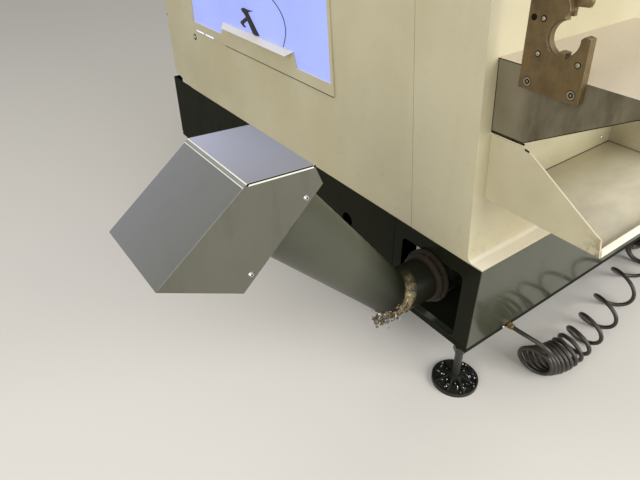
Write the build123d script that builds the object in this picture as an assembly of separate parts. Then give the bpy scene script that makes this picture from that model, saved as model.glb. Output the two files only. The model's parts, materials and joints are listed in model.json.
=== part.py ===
"""Vertical machining center in a sheet-metal enclosure, every piece a node of its own.

Everything is drawn in millimetres in the machine's own frame: X to the right along the
front, Y to the back, Z up, zero on the floor under the front left corner of the base.
The last function moves the whole machine so that zero is under the middle of its box.
"""
from build123d import *

import os
from math import cos, degrees, pi, radians, sin, tan

# Base
WIDTH = 2200.0
PLATE_BOTTOM = 150.0
PLATE_TOP = 172.0
PLATE_REAR = 1880.0
PLATE_EDGE_R = 9.0
SKIRT_TOP = 455.0
SKIRT_T = 3.0
FLANGE = 24.0
SKIRT_SEAM_Y = 325.0
SEAM = 1.5
AUGER_DOOR = (54.0, 290.0, 178.0, 405.0)
SKIRT_HOLE = (550.0, 330.0, 25.0)

# Levelling feet
STUD_R = 12.0
STUD_TOP = 171.0
PAD_R = 70.5
PAD_T = 9.0
PAD_BOSS_R = 24.0
PAD_BOSS_TOP = 34.0
FOOT_INSET = (20.0, 33.0)
FOOT_REAR_Y = PLATE_REAR - 45.0

# Enclosure
SHEET = 4.0
CABIN_TOP = 2150.0
CABIN_REAR = PLATE_REAR - 35.0
WALL_FOOT = (51.9, 478.9)
WALL_LEAN = radians(5.03)
COVE_R = 20.0
SEAM_FOOT_Y = 258.4
SEAM_SLOPE = 0.105
REAR_CUT = (
    (CABIN_REAR - 159.0, SKIRT_TOP), (CABIN_REAR - 10.0, SKIRT_TOP + 32.0), (CABIN_REAR, SKIRT_TOP + 42.0),
)
DOOR_SPAN = 960.0
DOOR_OPENING_X = (WIDTH / 2 - DOOR_SPAN / 2, WIDTH / 2 + DOOR_SPAN / 2)
DOOR_OPENING_Z = (1150.0, CABIN_TOP - 120.0)

# Doors
DOOR_LAP = 40.0
DOOR_GAP = 10.0
DOOR_T = 28.0
DOOR_SHEET = 3.0
DOOR_BOTTOM = DOOR_OPENING_Z[0] - 20.0
DOOR_TOP = DOOR_OPENING_Z[1] + 20.0
DOOR_RAIL_INSET = 130.0
DOOR_RIM = 75.0
PANE_T = 6.0
HANDLE_R = 11.0
HANDLE_LENGTH = 300.0
HANDLE_STAND = 45.0
RAIL_HEIGHT = 18.0

# Side window hatch
HATCH_Z = (734.0, 1456.0)
HATCH_BORDER = 10.0
PANE_OPENING = ((638.0, 770.0), (1562.0, 770.0), (1562.0, 1420.0), (706.0, 1420.0))
PANE_MARGIN = 4.0
PANEL_MARGIN = 7.0
LIP_TAB = ((816.0, 763.0), (838.0, 817.0), (1303.0, 817.0), (1330.0, 763.0))
LIP_REACH = 38.0
LIP_DROP = 7.0
LIP_MITRE = 48.0
LIP_T = 2.0
HATCH_AXIS = (-9.0, 1466.0)
HINGE_R = 6.0
HINGE_PIN_R = 3.0
HINGE_Y = (760.0, 1440.0)
KNUCKLE = 30.0
PIN_CLEARANCE = 0.05

# Chip auger and its tubes
AUGER_Y = 172.0
AUGER_Z = 338.0
TROUGH_R = 66.0
SCREW_R = 56.0
SCREW_SHAFT_R = 17.0
SCREW_PITCH = 206.0
FLIGHT_T = 9.0
SCREW_X = (-110.0, WIDTH - 250.0)
STUB_R = 62.0
TUBE_WALL = 4.0
ELBOW_X = -147.0
TUBE_RISE = radians(48.6)
TUBE_R_LOW = 60.0
TUBE_R_HIGH = 90.2
TUBE_LENGTH = 640.0

# Hood at the end of the tube, its outline in X and Z
HOOD_Y = (60.0, 282.0)
HOOD_T = 2.0
HOOD_OUTLINE = (
    (-620.0, 899.0), (-483.0, 891.0), (-464.0, 847.0), (-648.0, 675.0), (-806.0, 758.0),
)
HOOD_SCREWS = ((-502.0, 830.0), (-629.0, 712.0))
HOOD_SCREW_R = 5.8

# Shelf, catch tray and tool fixture, outlines in Y and Z
SHELF_X = (42.4, 600.0)
SHELF_T = 2.5
SHELF_TOP = 974.0
SHELF_FRONT = -250.0
SHELF_SIDE = ((-8.0, 807.0), (-231.0, 937.0), (SHELF_FRONT, 940.0))
TRAY_X = (44.0, 600.0)
TRAY_T = 2.0
TRAY_FLOOR = 628.5
TRAY_TOP = 798.0
TRAY_SIDE = ((-15.0, 798.0), (-30.0, 795.0), (-224.0, 680.0), (-240.0, 673.0), (-249.0, 628.5))
TRAY_LIP = 650.0
FIXTURE_T = 19.0
FIXTURE_OUTLINE = (
    (21.0, 934.0), (-119.0, 934.0), (-117.0, 981.0), (-112.0, 1060.0), (-100.0, 1062.0),
    (-84.0, 1049.0), (-58.0, 1049.0), (-50.0, 1088.0), (-58.0, 1101.0), (-48.0, 1125.0),
    (-36.0, 1160.0), (24.0, 1160.0), (33.0, 1150.0), (30.0, 1102.0),
)
FIXTURE_BORE = (-58.0, 1049.0, 33.0)
FIXTURE_RIM_R = 37.0
FIXTURE_HOLES = ((16.0, 1076.0, 4.0), (-6.0, 1077.0, 3.0), (-9.0, 1010.0, 4.0), (-99.0, 1009.0, 4.0))
FIXTURE_BOLTS = ((2.0, 950.0), (-100.0, 950.0))
BOLT_R = 4.9
BOLT_HEAD_R = 8.0
BOLT_HEAD_T = 8.0
LEVER_PIVOT = (0.0, 1136.0)
LEVER_PIN_R = 8.0
LEVER_T = 9.0

# Machine inside
SPINDLE_X = WIDTH / 2
SPINDLE_Y = 900.0
BED_TOP = 620.0
BED_FRONT = 330.0
BED_X = SPINDLE_X - 580.0
Y_RAIL_X = (SPINDLE_X - 300.0, SPINDLE_X + 300.0)
Y_RAIL_Y = (345.0, 1425.0)
RAIL_W = 45.0
RAIL_H = 36.0
SADDLE_Y = 460.0
SADDLE_X = 1080.0
SADDLE_TOP = 790.0
Y_TRAVEL = 203.0
X_TRAVEL = 381.0
Z_TRAVEL = 508.0
TABLE = (1213.0, 356.0)
TABLE_BOTTOM = 834.0
TABLE_TOP = 902.0
SLOT_SPACING = 125.0
COLUMN_FRONT = 1450.0
COLUMN_REAR = PLATE_REAR - 60.0
COLUMN_TOP = CABIN_TOP + 100.0
COLUMN_X = (SPINDLE_X - 250.0, SPINDLE_X + 250.0)
Z_RAIL_X = (SPINDLE_X - 125.0, SPINDLE_X + 125.0)
Z_RAIL_Z = (1160.0, 2220.0)
NOSE_Z = 1500.0
HEAD_BOTTOM = 1660.0
HEAD_TOP = 2080.0
HEAD_HALF = 165.0
HEAD_FRONT = SPINDLE_Y - 130.0
HEAD_REAR = COLUMN_FRONT - 50.0
MOTOR_HALF = 105.0
MOTOR_TOP = HEAD_TOP + 280.0
NOSE_R = 75.0
SPINDLE_R = 44.0
TAPER_R = 22.2
COVER_HALF = 500.0
COVER_TOP = 735.0
COVER_LENGTH = 218.0
COVER_FRONT = 246.0
COVER_PLAY = 0.6
COVER_T = 3.0

# Tool carousel
POCKETS = 16
POCKET_CIRCLE = 270.0
POCKET_R = 32.0
DISC_R = 300.0
DISC_Z = (1470.0, 1484.0)
SHUTTLE = 290.0
CAROUSEL_X = SPINDLE_X - POCKET_CIRCLE - SHUTTLE
CAROUSEL_COVER_R = 180.0
CAROUSEL_COVER_T = 3.0
CAROUSEL_ARM_Z = (DISC_Z[1] + 142.0, DISC_Z[1] + 170.0)
BEAM_LEFT = CAROUSEL_X - 340.0
BEAM_Y = (1310.0, 1360.0)
BEAM_Z = (1620.0, 1740.0)
BEAM_RAIL_Z = (BEAM_Z[0] + 25.0, BEAM_Z[1] - 25.0)
BEAM_RAIL_R = 8.0

# Control pendant
PENDANT_X = (WIDTH - 450.0, WIDTH - 30.0)
PENDANT_Y = (-290.0, -170.0)
PENDANT_Z = (1150.0, 1710.0)
PENDANT_WALL = 4.0
POST = (WIDTH + 36.0, 150.0)
POST_R = 22.0
ARM_R = 20.0
ARM_BEND = 60.0
ARM_Z = 1820.0
POST_Z = (1770.0, 1870.0)

# Rear
CABINET_X = (SPINDLE_X - 480.0, SPINDLE_X + 480.0)
CABINET_Y = (PLATE_REAR, PLATE_REAR + 360.0)
CABINET_Z = (470.0, 1970.0)
CABINET_DOOR_T = 26.0
DISCONNECT_Z = 1500.0
TANK_WIDTH = 490.0
TANK_X = (CABINET_X[1] + 20.0, CABINET_X[1] + 20.0 + TANK_WIDTH)
TANK_Y = (PLATE_REAR, PLATE_REAR + 430.0)
TANK_TOP = 420.0

# Air hose
HOSE_R = 6.75
COIL_R = 56.0
FITTING = (193.0, 160.0)
FITTING_REACH = 20.0
LEAD_ROUTE = (
    (193.0, -FITTING_REACH, 160.0), (193.0, -51.0, 160.0), (197.0, -88.0, 160.0),
    (206.0, -122.0, 152.0), (217.0, -140.0, 130.0), (221.0, -131.0, 101.0),
)
COIL_ROUTE = (
    (214.0, -84.0, 56.0), (262.0, -111.0, 56.0), (330.0, -126.0, 56.0), (430.0, -120.0, 56.0),
    (560.0, -104.0, 56.0), (700.0, -77.0, 56.0), (840.0, -43.0, 56.0), (960.0, -12.0, 56.0),
    (1070.0, 12.0, 56.0),
)
TAIL_ROUTE = (
    (1062.97, 44.24, 22.0), (1109.86, 54.47, 22.0), (1160.0, 48.0, 8.0), (1212.0, 24.0, 6.8),
    (1262.0, 2.0, 13.0), (1306.0, -14.0, 13.0),
)


# Helpers

def block(x0, x1, y0, y1, z0, z1):
    """Box between two corners."""
    return Pos((x0 + x1) / 2, (y0 + y1) / 2, (z0 + z1) / 2) * Box(x1 - x0, y1 - y0, z1 - z0)


def rod(start, end, radius, end_radius=None):
    """Cylinder or cone from one point to another."""
    line = Vector(*end) - Vector(*start)
    plane = Plane(origin=start, z_dir=line)
    if end_radius is None:
        solid = Cylinder(radius, line.length, align=(Align.CENTER, Align.CENTER, Align.MIN))
    else:
        solid = Cone(radius, end_radius, line.length, align=(Align.CENTER, Align.CENTER, Align.MIN))
    return plane * solid


def prism_x(points, x0, x1):
    """Outline in Y and Z, pulled along X."""
    face = make_face(Polyline(*[(x0, y, z) for y, z in points], close=True))
    return extrude(face, amount=x1 - x0, dir=(1, 0, 0))


def prism_y(points, y0, y1):
    """Outline in X and Z, pulled along Y."""
    face = make_face(Polyline(*[(x, y0, z) for x, z in points], close=True))
    return extrude(face, amount=y1 - y0, dir=(0, 1, 0))


def prism_z(points, z0, z1):
    """Outline in X and Y, pulled up."""
    face = make_face(Polyline(*[(x, y, z0) for x, y in points], close=True))
    return extrude(face, amount=z1 - z0, dir=(0, 0, 1))


def hexagon(start, end, across_flats):
    """Hexagonal bar from one point to another."""
    line = Vector(*end) - Vector(*start)
    outline = RegularPolygon(across_flats / 2, 6, major_radius=False)
    return Plane(origin=start, z_dir=line) * extrude(outline, line.length)


def union(shapes):
    """All shapes fused into one."""
    shapes = list(shapes)
    whole = shapes[0]
    for shape in shapes[1:]:
        whole += shape
    return whole


def group(shapes):
    """Separate solids of one node."""
    solids = [solid for shape in shapes for solid in shape.solids()]
    return Compound(solids)


def wall_y(z):
    """Outer face of the leaning front wall at a height."""
    return WALL_FOOT[0] + (z - WALL_FOOT[1]) * tan(WALL_LEAN)


def seam_y(z):
    """Front edge of the side panels at a height."""
    return SEAM_FOOT_Y + (z - SKIRT_TOP) * SEAM_SLOPE


WALL = Plane(
    origin=(0, WALL_FOOT[0], WALL_FOOT[1]),
    x_dir=(1, 0, 0),
    z_dir=(0, -cos(WALL_LEAN), sin(WALL_LEAN)),
)


def on_wall(x0, x1, z0, z1, n0, n1):
    """Box that lies on the front wall: heights are the machine's, n is the distance off the wall."""
    up = cos(WALL_LEAN)
    return WALL * block(x0, x1, (z0 - WALL_FOOT[1]) / up, (z1 - WALL_FOOT[1]) / up, n0, n1)


def mirrored(shape):
    """Copy for the other side of the machine."""
    middle = Plane(origin=(WIDTH / 2, 0, 0), z_dir=(1, 0, 0))
    return group(solid.mirror(middle) for solid in shape.solids())


# Base and skirts

def foot_places():
    left, front = FOOT_INSET
    middle = (front + FOOT_REAR_Y) / 2
    return [(x, y) for y in (front, middle, FOOT_REAR_Y) for x in (left, WIDTH - left)]


def base_casting():
    plate = block(0, WIDTH, 0, PLATE_REAR, PLATE_BOTTOM, PLATE_TOP)
    rim = [e for e in plate.edges() if abs(e.center().Z - (PLATE_BOTTOM + PLATE_TOP) / 2) > 1]
    plate = fillet(rim, PLATE_EDGE_R)
    for x, y in foot_places():
        plate -= rod((x, y, PLATE_BOTTOM), (x, y, PLATE_TOP), STUD_R + PIN_CLEARANCE)
    half = RAIL_W / 2 + 28
    profile = [(BED_X, PLATE_TOP - 1), (WIDTH - BED_X, PLATE_TOP - 1), (WIDTH - BED_X, 300)]
    for middle in reversed(Y_RAIL_X):
        profile += [(middle + half, 560), (middle + half, BED_TOP)]
        profile += [(middle - half, BED_TOP), (middle - half, 560)]
    profile.append((BED_X, 300))
    bed = prism_y(profile, BED_FRONT, COLUMN_REAR)
    x0, x1 = COLUMN_X
    pedestal = block(x0 - 150, x1 + 150, COLUMN_FRONT - 20, COLUMN_REAR, BED_TOP - 80, BED_TOP)
    pockets = union(
        block(x - 20, x + 120, y, y + 190, PLATE_TOP + 20, 286)
        for x in (BED_X, WIDTH - BED_X - 100) for y in range(400, 1700, 250)
    )
    return plate + bed + pedestal - pockets


def skirt_front():
    """Folded front skirt with a return on each side; the left one opens for the auger tube."""
    outer = block(0, WIDTH, 0, SKIRT_SEAM_Y - SEAM, PLATE_TOP, SKIRT_TOP)
    folded = fillet(outer.edges().filter_by(Axis.Z).sort_by(Axis.Y)[:2], 4)
    inner = block(SKIRT_T, WIDTH - SKIRT_T, SKIRT_T, SKIRT_SEAM_Y, PLATE_TOP, SKIRT_TOP)
    y0, y1, z0, z1 = AUGER_DOOR
    door = block(-1, SKIRT_T + 1, y0, y1, z0, z1)
    door = fillet(door.edges().filter_by(Axis.X), 17)
    shaft = rod((WIDTH - 5, AUGER_Y, AUGER_Z), (WIDTH + 1, AUGER_Y, AUGER_Z), SCREW_SHAFT_R + 3)
    flange = block(SKIRT_T, WIDTH - SKIRT_T, SKIRT_T, SKIRT_T + FLANGE, PLATE_TOP, PLATE_TOP + SKIRT_T)
    ends = block(SKIRT_T, SKIRT_T + FLANGE, SKIRT_T, SKIRT_SEAM_Y - SEAM, PLATE_TOP, PLATE_TOP + SKIRT_T)
    flange += ends + Pos(WIDTH - 2 * SKIRT_T - FLANGE, 0, 0) * ends
    for x, y in foot_places():
        flange -= rod((x, y, PLATE_TOP - 1), (x, y, PLATE_TOP + SKIRT_T + 1), STUD_R + 1)
    return folded - inner - door - shaft + flange


def skirt_side():
    y, z, radius = SKIRT_HOLE
    sheet = block(0, SKIRT_T, SKIRT_SEAM_Y, PLATE_REAR, PLATE_TOP, SKIRT_TOP)
    flange = block(0, 40, PLATE_REAR - SKIRT_T, PLATE_REAR, PLATE_TOP, SKIRT_TOP)
    flange += block(0, 40, SKIRT_SEAM_Y, PLATE_REAR, PLATE_TOP, PLATE_TOP + SKIRT_T)
    for x, foot_y in foot_places():
        flange -= rod((x, foot_y, PLATE_TOP - 1), (x, foot_y, PLATE_TOP + SKIRT_T + 1), STUD_R + 1)
    return sheet + flange - rod((-1, y, z), (SKIRT_T + 1, y, z), radius)


def levelling_screws():
    screws = []
    for x, y in foot_places():
        stud = rod((x, y, 14), (x, y, STUD_TOP), STUD_R)
        nut = hexagon((x, y, PLATE_BOTTOM - 20), (x, y, PLATE_BOTTOM), 36)
        screws.append(stud + nut)
    return group(screws)


def levelling_pads():
    pads = []
    for x, y in foot_places():
        outline = Polyline(
            (0, 0), (PAD_R, 0), (PAD_R, 14), (PAD_R - 5, 14), (PAD_R - 6, PAD_T), (PAD_BOSS_R, PAD_T),
            (PAD_BOSS_R - 3, PAD_BOSS_TOP), (STUD_R + 0.1, PAD_BOSS_TOP), (STUD_R + 0.1, 14), (0, 14),
            close=True,
        )
        pad = revolve(Plane.XZ * make_face(outline), Axis.Z)
        for turn in range(0, 360, 45):
            inner, outer = PAD_BOSS_R - 2.5, PAD_R - 5.5
            web = prism_y([(inner, 8), (outer, 8), (outer, 13), (inner, 28)], -2, 2)
            pad += Rot(0, 0, turn + 22.5) * web
        pads.append(Pos(x, y, 0) * pad)
    return group(pads)


def linear_rail(length):
    """Profile rail along Y with its foot at zero."""
    w, h = RAIL_W / 2, RAIL_H
    profile = [(-w, 0), (w, 0), (w, h * 0.35), (w * 0.72, h * 0.5), (w, h * 0.68), (w * 0.9, h)]
    outline = profile + [(-x, z) for x, z in reversed(profile)]
    return prism_y(outline, 0, length)


def y_rails():
    start, end = Y_RAIL_Y
    return group(Pos(x, start, BED_TOP) * linear_rail(end - start) for x in Y_RAIL_X)


def column():
    """Column that widens towards its foot, with rail pads in front and a window through its sides."""
    x0, x1 = COLUMN_X
    front, rear = COLUMN_FRONT, COLUMN_REAR
    low, high = Z_RAIL_Z
    side = [(front, BED_TOP), (rear, BED_TOP), (rear, 1300), (rear - 60, COLUMN_TOP), (front, COLUMN_TOP)]
    face = [
        (x0 - 90, BED_TOP), (x1 + 90, BED_TOP), (x1, low - 10),
        (x1, COLUMN_TOP), (x0, COLUMN_TOP), (x0, low - 10),
    ]
    body = prism_x(side, x0 - 100, x1 + 100) & prism_y(face, front - 10, rear + 10)
    pads = union(block(x - 35, x + 35, front - 12, front + 1, low - 10, high + 10) for x in Z_RAIL_X)
    channel = block(SPINDLE_X - 70, SPINDLE_X + 70, front - 1, front + 60, low - 30, COLUMN_TOP + 1)
    window = block(x0 - 101, x1 + 101, front + 110, rear - 100, low + 90, COLUMN_TOP - 350)
    window = fillet(window.edges().filter_by(Axis.X), 60)
    return body + pads - channel - window


def z_rails():
    low, high = Z_RAIL_Z
    rail = Rot(90, 0, 0) * linear_rail(high - low)
    return group(Pos(x, COLUMN_FRONT - 12, low) * rail for x in Z_RAIL_X)


def carriage(x, y, z, length, along):
    """Ball carriage that straddles a rail; its top is at z."""
    body = block(-45, 45, -length / 2, length / 2, -28, 0)
    channel = block(-RAIL_W / 2 - 0.6, RAIL_W / 2 + 0.6, -length, length, -29, -8)
    turned = body - channel
    if along == "x":
        turned = Rot(0, 0, 90) * turned
    return Pos(x, y, z) * turned


def saddle():
    x0, x1 = SPINDLE_X - SADDLE_X / 2, SPINDLE_X + SADDLE_X / 2
    y0, y1 = SPINDLE_Y - SADDLE_Y / 2, SPINDLE_Y + SADDLE_Y / 2
    bottom = BED_TOP + RAIL_H + 10
    side = [
        (y0, bottom), (y1, bottom), (y1, COVER_TOP),
        (y1 - 60, SADDLE_TOP), (y0 + 60, SADDLE_TOP), (y0, COVER_TOP),
    ]
    body = prism_x(side, x0, x1)
    body -= block(x0 - 1, x1 + 1, SPINDLE_Y - 40, SPINDLE_Y + 40, SADDLE_TOP - 25, SADDLE_TOP + 1)
    shoes = [
        carriage(x, SPINDLE_Y + dy, bottom + 1, 110, "y") for x in Y_RAIL_X for dy in (-170, 170)
    ]
    return union([body] + shoes)


def x_rails():
    rails = []
    for dy in (-125, 125):
        lying = Rot(0, 0, -90) * linear_rail(SADDLE_X - 40)
        rails.append(Pos(SPINDLE_X - SADDLE_X / 2 + 20, SPINDLE_Y + dy, SADDLE_TOP) * lying)
    return group(rails)


def table():
    """Table with three T-slots along X and coolant gutters at its edges."""
    half_x, half_y = TABLE[0] / 2, TABLE[1] / 2
    profile = [(-half_y, TABLE_BOTTOM), (half_y, TABLE_BOTTOM), (half_y, TABLE_TOP)]
    for middle in (SLOT_SPACING, 0, -SLOT_SPACING):
        profile += [
            (middle + 8, TABLE_TOP), (middle + 8, TABLE_TOP - 20), (middle + 14, TABLE_TOP - 20),
            (middle + 14, TABLE_TOP - 33), (middle - 14, TABLE_TOP - 33), (middle - 14, TABLE_TOP - 20),
            (middle - 8, TABLE_TOP - 20), (middle - 8, TABLE_TOP),
        ]
    profile.append((-half_y, TABLE_TOP))
    top = Pos(SPINDLE_X, SPINDLE_Y, 0) * prism_x(profile, -half_x, half_x)
    gutters = union(
        Pos(SPINDLE_X + side * (half_x - 14), SPINDLE_Y, TABLE_TOP) * Box(14, TABLE[1] - 30, 16)
        for side in (-1, 1)
    )
    shoes = [
        carriage(SPINDLE_X + dx, SPINDLE_Y + dy, TABLE_BOTTOM + 1, 110, "x")
        for dx in (-140, 140) for dy in (-125, 125)
    ]
    return union([top - gutters] + shoes)


def cover_stage(index, length, front):
    """One telescoping stage: a roof with two side cheeks, each stage lower and narrower."""
    lower = index * (COVER_T + COVER_PLAY)
    x0, x1 = SPINDLE_X - COVER_HALF + lower, SPINDLE_X + COVER_HALF - lower
    top = COVER_TOP - lower
    bottom = BED_TOP + RAIL_H + 12
    y0, y1 = front, front + length
    roof = block(x0, x1, y0, y1, top - COVER_T, top)
    cheeks = block(x0, x0 + COVER_T, y0, y1, bottom, top) + block(x1 - COVER_T, x1, y0, y1, bottom, top)
    return roof + cheeks


def fixed_cover(length, front):
    """The innermost stage, held on the bed's front by the plate inside it."""
    stage = cover_stage(2, length, front)
    half = COVER_HALF - 10
    return stage + block(
        SPINDLE_X - half, SPINDLE_X + half, BED_FRONT - COVER_T, BED_FRONT, BED_TOP - 50, COVER_TOP - 10
    )


# Head and spindle

def spindle_head():
    """Head casting with its nose and the four carriages that hold it on the column's rails."""
    front, rear = HEAD_FRONT, HEAD_REAR
    side = [
        (rear, HEAD_BOTTOM + 40), (rear, HEAD_TOP - 30), (rear - 100, HEAD_TOP), (front + 50, HEAD_TOP),
        (front, HEAD_TOP - 60), (front, HEAD_BOTTOM + 60), (front + 30, HEAD_BOTTOM),
        (front + 350, HEAD_BOTTOM), (front + 480, HEAD_BOTTOM + 40),
    ]
    body = prism_x(side, SPINDLE_X - HEAD_HALF, SPINDLE_X + HEAD_HALF)
    body = fillet(body.edges().filter_by(Axis.Z).sort_by(Axis.Y)[:2], 40)
    body += rod((SPINDLE_X, SPINDLE_Y, HEAD_BOTTOM + 1), (SPINDLE_X, SPINDLE_Y, NOSE_Z + 60), 92, 80)
    body += rod((SPINDLE_X, SPINDLE_Y, NOSE_Z + 61), (SPINDLE_X, SPINDLE_Y, NOSE_Z + 12), NOSE_R)
    for x in Z_RAIL_X:
        for z in (HEAD_BOTTOM + 100, HEAD_TOP - 100):
            shoe = block(x - 45, x + 45, rear - 1, rear + 30, z - 55, z + 55)
            shoe -= block(x - RAIL_W / 2 - 0.6, x + RAIL_W / 2 + 0.6, rear + 1, rear + 31, z - 56, z + 56)
            body += shoe
    top = HEAD_BOTTOM + 140
    bore = rod((SPINDLE_X, SPINDLE_Y, NOSE_Z), (SPINDLE_X, SPINDLE_Y, top), SPINDLE_R + PIN_CLEARANCE)
    return body - bore


def spindle():
    """Spindle with a steep taper and two drive keys on its face."""
    x, y = SPINDLE_X, SPINDLE_Y
    body = rod((x, y, NOSE_Z + 10), (x, y, HEAD_BOTTOM + 130), SPINDLE_R)
    body += rod((x, y, NOSE_Z), (x, y, NOSE_Z + 11), 60)
    body -= rod((x, y, NOSE_Z - 0.01), (x, y, NOSE_Z + 68), TAPER_R, TAPER_R - 68 * 7 / 48)
    for side in (-1, 1):
        body += block(x + side * 41 - 9, x + side * 41 + 9, y - 8, y + 8, NOSE_Z - 7, NOSE_Z + 1)
    return body


def spindle_motor():
    """Motor on the head: flange, round-cornered body, fan cap and terminal box."""
    x, y, half = SPINDLE_X, SPINDLE_Y + 60, MOTOR_HALF
    seat = HEAD_TOP + 25
    body = block(x - half, x + half, y - half, y + half, seat, MOTOR_TOP)
    body = fillet(body.edges().filter_by(Axis.Z), 30)
    flange = block(x - half - 20, x + half + 20, y - half - 20, y + half + 20, HEAD_TOP, seat)
    fan = rod((x, y, MOTOR_TOP), (x, y, MOTOR_TOP + 35), half - 17)
    box = block(x - 60, x + 60, y - half - 45, y - half + 1, MOTOR_TOP - 180, MOTOR_TOP - 70)
    return flange + body + fan + box


def servo(start, end, size):
    """Servo motor: square flange, round-cornered body, a stub box."""
    line = (Vector(*end) - Vector(*start)).normalized()
    flange_end = Vector(*start) + line * 16
    length = (Vector(*end) - flange_end).length
    flange = Plane(origin=start, z_dir=line) * extrude(RectangleRounded(size, size, 6), 16)
    outline = RectangleRounded(size * 0.86, size * 0.86, 16)
    return flange + Plane(origin=tuple(flange_end), z_dir=line) * extrude(outline, length)


# Enclosure

def wall_profile(z0, z1):
    """Sheet of the front wall between two heights."""
    t = SHEET / cos(WALL_LEAN)
    return [(wall_y(z0), z0), (wall_y(z1), z1), (wall_y(z1) + t, z1), (wall_y(z0) + t, z0)]


def cove_profile(top):
    """Sheet of the front wall down to its foot, where it sweeps out into the cove."""
    t = SHEET / cos(WALL_LEAN)
    corner = wall_y(SKIRT_TOP + SHEET)
    points = [(0, SKIRT_TOP + SHEET), (corner, SKIRT_TOP + SHEET), (wall_y(top), top), (wall_y(top) + t, top),
              (wall_y(SKIRT_TOP) + t, SKIRT_TOP), (0, SKIRT_TOP)]
    face = make_face(Polyline(*[(0, y, z) for y, z in points], close=True))
    outer = [v for v in face.vertices() if abs(v.Y - corner) < 1 and v.Z > SKIRT_TOP + 1]
    face = fillet(outer, COVE_R)
    inner = [v for v in face.vertices() if abs(v.Y - wall_y(SKIRT_TOP) - t) < 0.5 and v.Z < SKIRT_TOP + 1]
    return fillet(inner, COVE_R + SHEET)


def cove_sheet(x0, x1, top):
    return Pos(x0, 0, 0) * extrude(cove_profile(top), amount=x1 - x0, dir=(1, 0, 0))


def return_sheet():
    """Side return of the front panel, from the wall's outline back to the leaning seam."""
    points = [(0, SKIRT_TOP), (0, SKIRT_TOP + SHEET), (wall_y(SKIRT_TOP + SHEET), SKIRT_TOP + SHEET),
              (wall_y(CABIN_TOP), CABIN_TOP), (seam_y(CABIN_TOP), CABIN_TOP), (seam_y(SKIRT_TOP), SKIRT_TOP)]
    face = make_face(Polyline(*[(0, y, z) for y, z in points], close=True))
    corner = [v for v in face.vertices() if abs(v.Y - points[2][0]) < 0.5 and v.Z < SKIRT_TOP + 5]
    return extrude(fillet(corner, COVE_R), amount=SHEET, dir=(1, 0, 0))


def front_panel_left():
    """Front wall left of the doors, folded round the corner into its side return."""
    x1 = DOOR_OPENING_X[0]
    panel = cove_sheet(0, x1, CABIN_TOP) + return_sheet()
    panel += on_wall(x1 - SHEET, x1, DOOR_OPENING_Z[0], DOOR_OPENING_Z[1], -30, -1)
    top = [(wall_y(CABIN_TOP) + 1, CABIN_TOP - SHEET), (wall_y(CABIN_TOP) + 60, CABIN_TOP - SHEET),
           (wall_y(CABIN_TOP) + 60, CABIN_TOP), (wall_y(CABIN_TOP) + 1, CABIN_TOP)]
    return panel + prism_x(top, 1, x1)


def front_sill():
    x0, x1 = DOOR_OPENING_X
    sheet = cove_sheet(x0, x1, DOOR_OPENING_Z[0])
    ledge = on_wall(x0, x1, DOOR_OPENING_Z[0] - SHEET, DOOR_OPENING_Z[0], -40, -1)
    return sheet + ledge


def front_header():
    x0, x1 = DOOR_OPENING_X
    sheet = prism_x(wall_profile(DOOR_OPENING_Z[1], CABIN_TOP), x0, x1)
    ledge = on_wall(x0, x1, DOOR_OPENING_Z[1], DOOR_OPENING_Z[1] + SHEET, -60, -1)
    top = on_wall(x0, x1, CABIN_TOP - SHEET - 5, CABIN_TOP - 5, -60, -1)
    return sheet + ledge + top


def grown(points, margin):
    """Outline of the window pushed out by a margin."""
    face = make_face(Polyline(*[(0, y, z) for y, z in points], close=True))
    return offset(face, margin, kind=Kind.INTERSECTION)


def side_outline():
    front_low = (seam_y(SKIRT_TOP) + SEAM, SKIRT_TOP)
    front_high = (seam_y(CABIN_TOP) + SEAM, CABIN_TOP)
    return [front_low, *REAR_CUT, (CABIN_REAR, CABIN_TOP), front_high]


def rear_flange():
    return block(1, 34, CABIN_REAR - SHEET, CABIN_REAR, 500, CABIN_TOP)


def roof_flange():
    return block(1, 40, 460, CABIN_REAR - 1, CABIN_TOP - SHEET, CABIN_TOP)


def hinge_places():
    return [(y, y + KNUCKLE, y + 2 * KNUCKLE) for y in HINGE_Y]


def left_side_panel():
    """Side panel with the window opening and the fixed hinge knuckles above it."""
    panel = prism_x(side_outline(), 0, SHEET) + rear_flange() + roof_flange()
    hole = extrude(grown(PANE_OPENING, PANEL_MARGIN), amount=SHEET + 2, dir=(1, 0, 0))
    panel -= Pos(-1, 0, 0) * hole
    x, z = HATCH_AXIS
    for y0, y1, y2 in hinge_places():
        leaf = block(x, 0.5, y1 + 0.5, y2, z - 2, z + 2) + block(-2, 0.5, y1 + 0.5, y2, z - 2, z + 26)
        knuckle = rod((x, y1 + 0.5, z), (x, y2, z), HINGE_R)
        pin = rod((x, y0, z), (x, y1 + 1, z), HINGE_PIN_R)
        panel += leaf + knuckle + pin
    return panel


def right_side_panel():
    return mirrored(prism_x(side_outline(), 0, SHEET) + rear_flange() + roof_flange())


def rear_panel():
    """Rear sheet in one piece, cut out round the column."""
    sheet = block(34, WIDTH - 34, CABIN_REAR - SHEET, CABIN_REAR, SKIRT_TOP + 40, CABIN_TOP - 5)
    x0, x1 = COLUMN_X[0] - 100, COLUMN_X[1] + 100
    return sheet - block(x0, x1, CABIN_REAR - 10, CABIN_REAR + 10, SKIRT_TOP - 55, CABIN_TOP)


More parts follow.
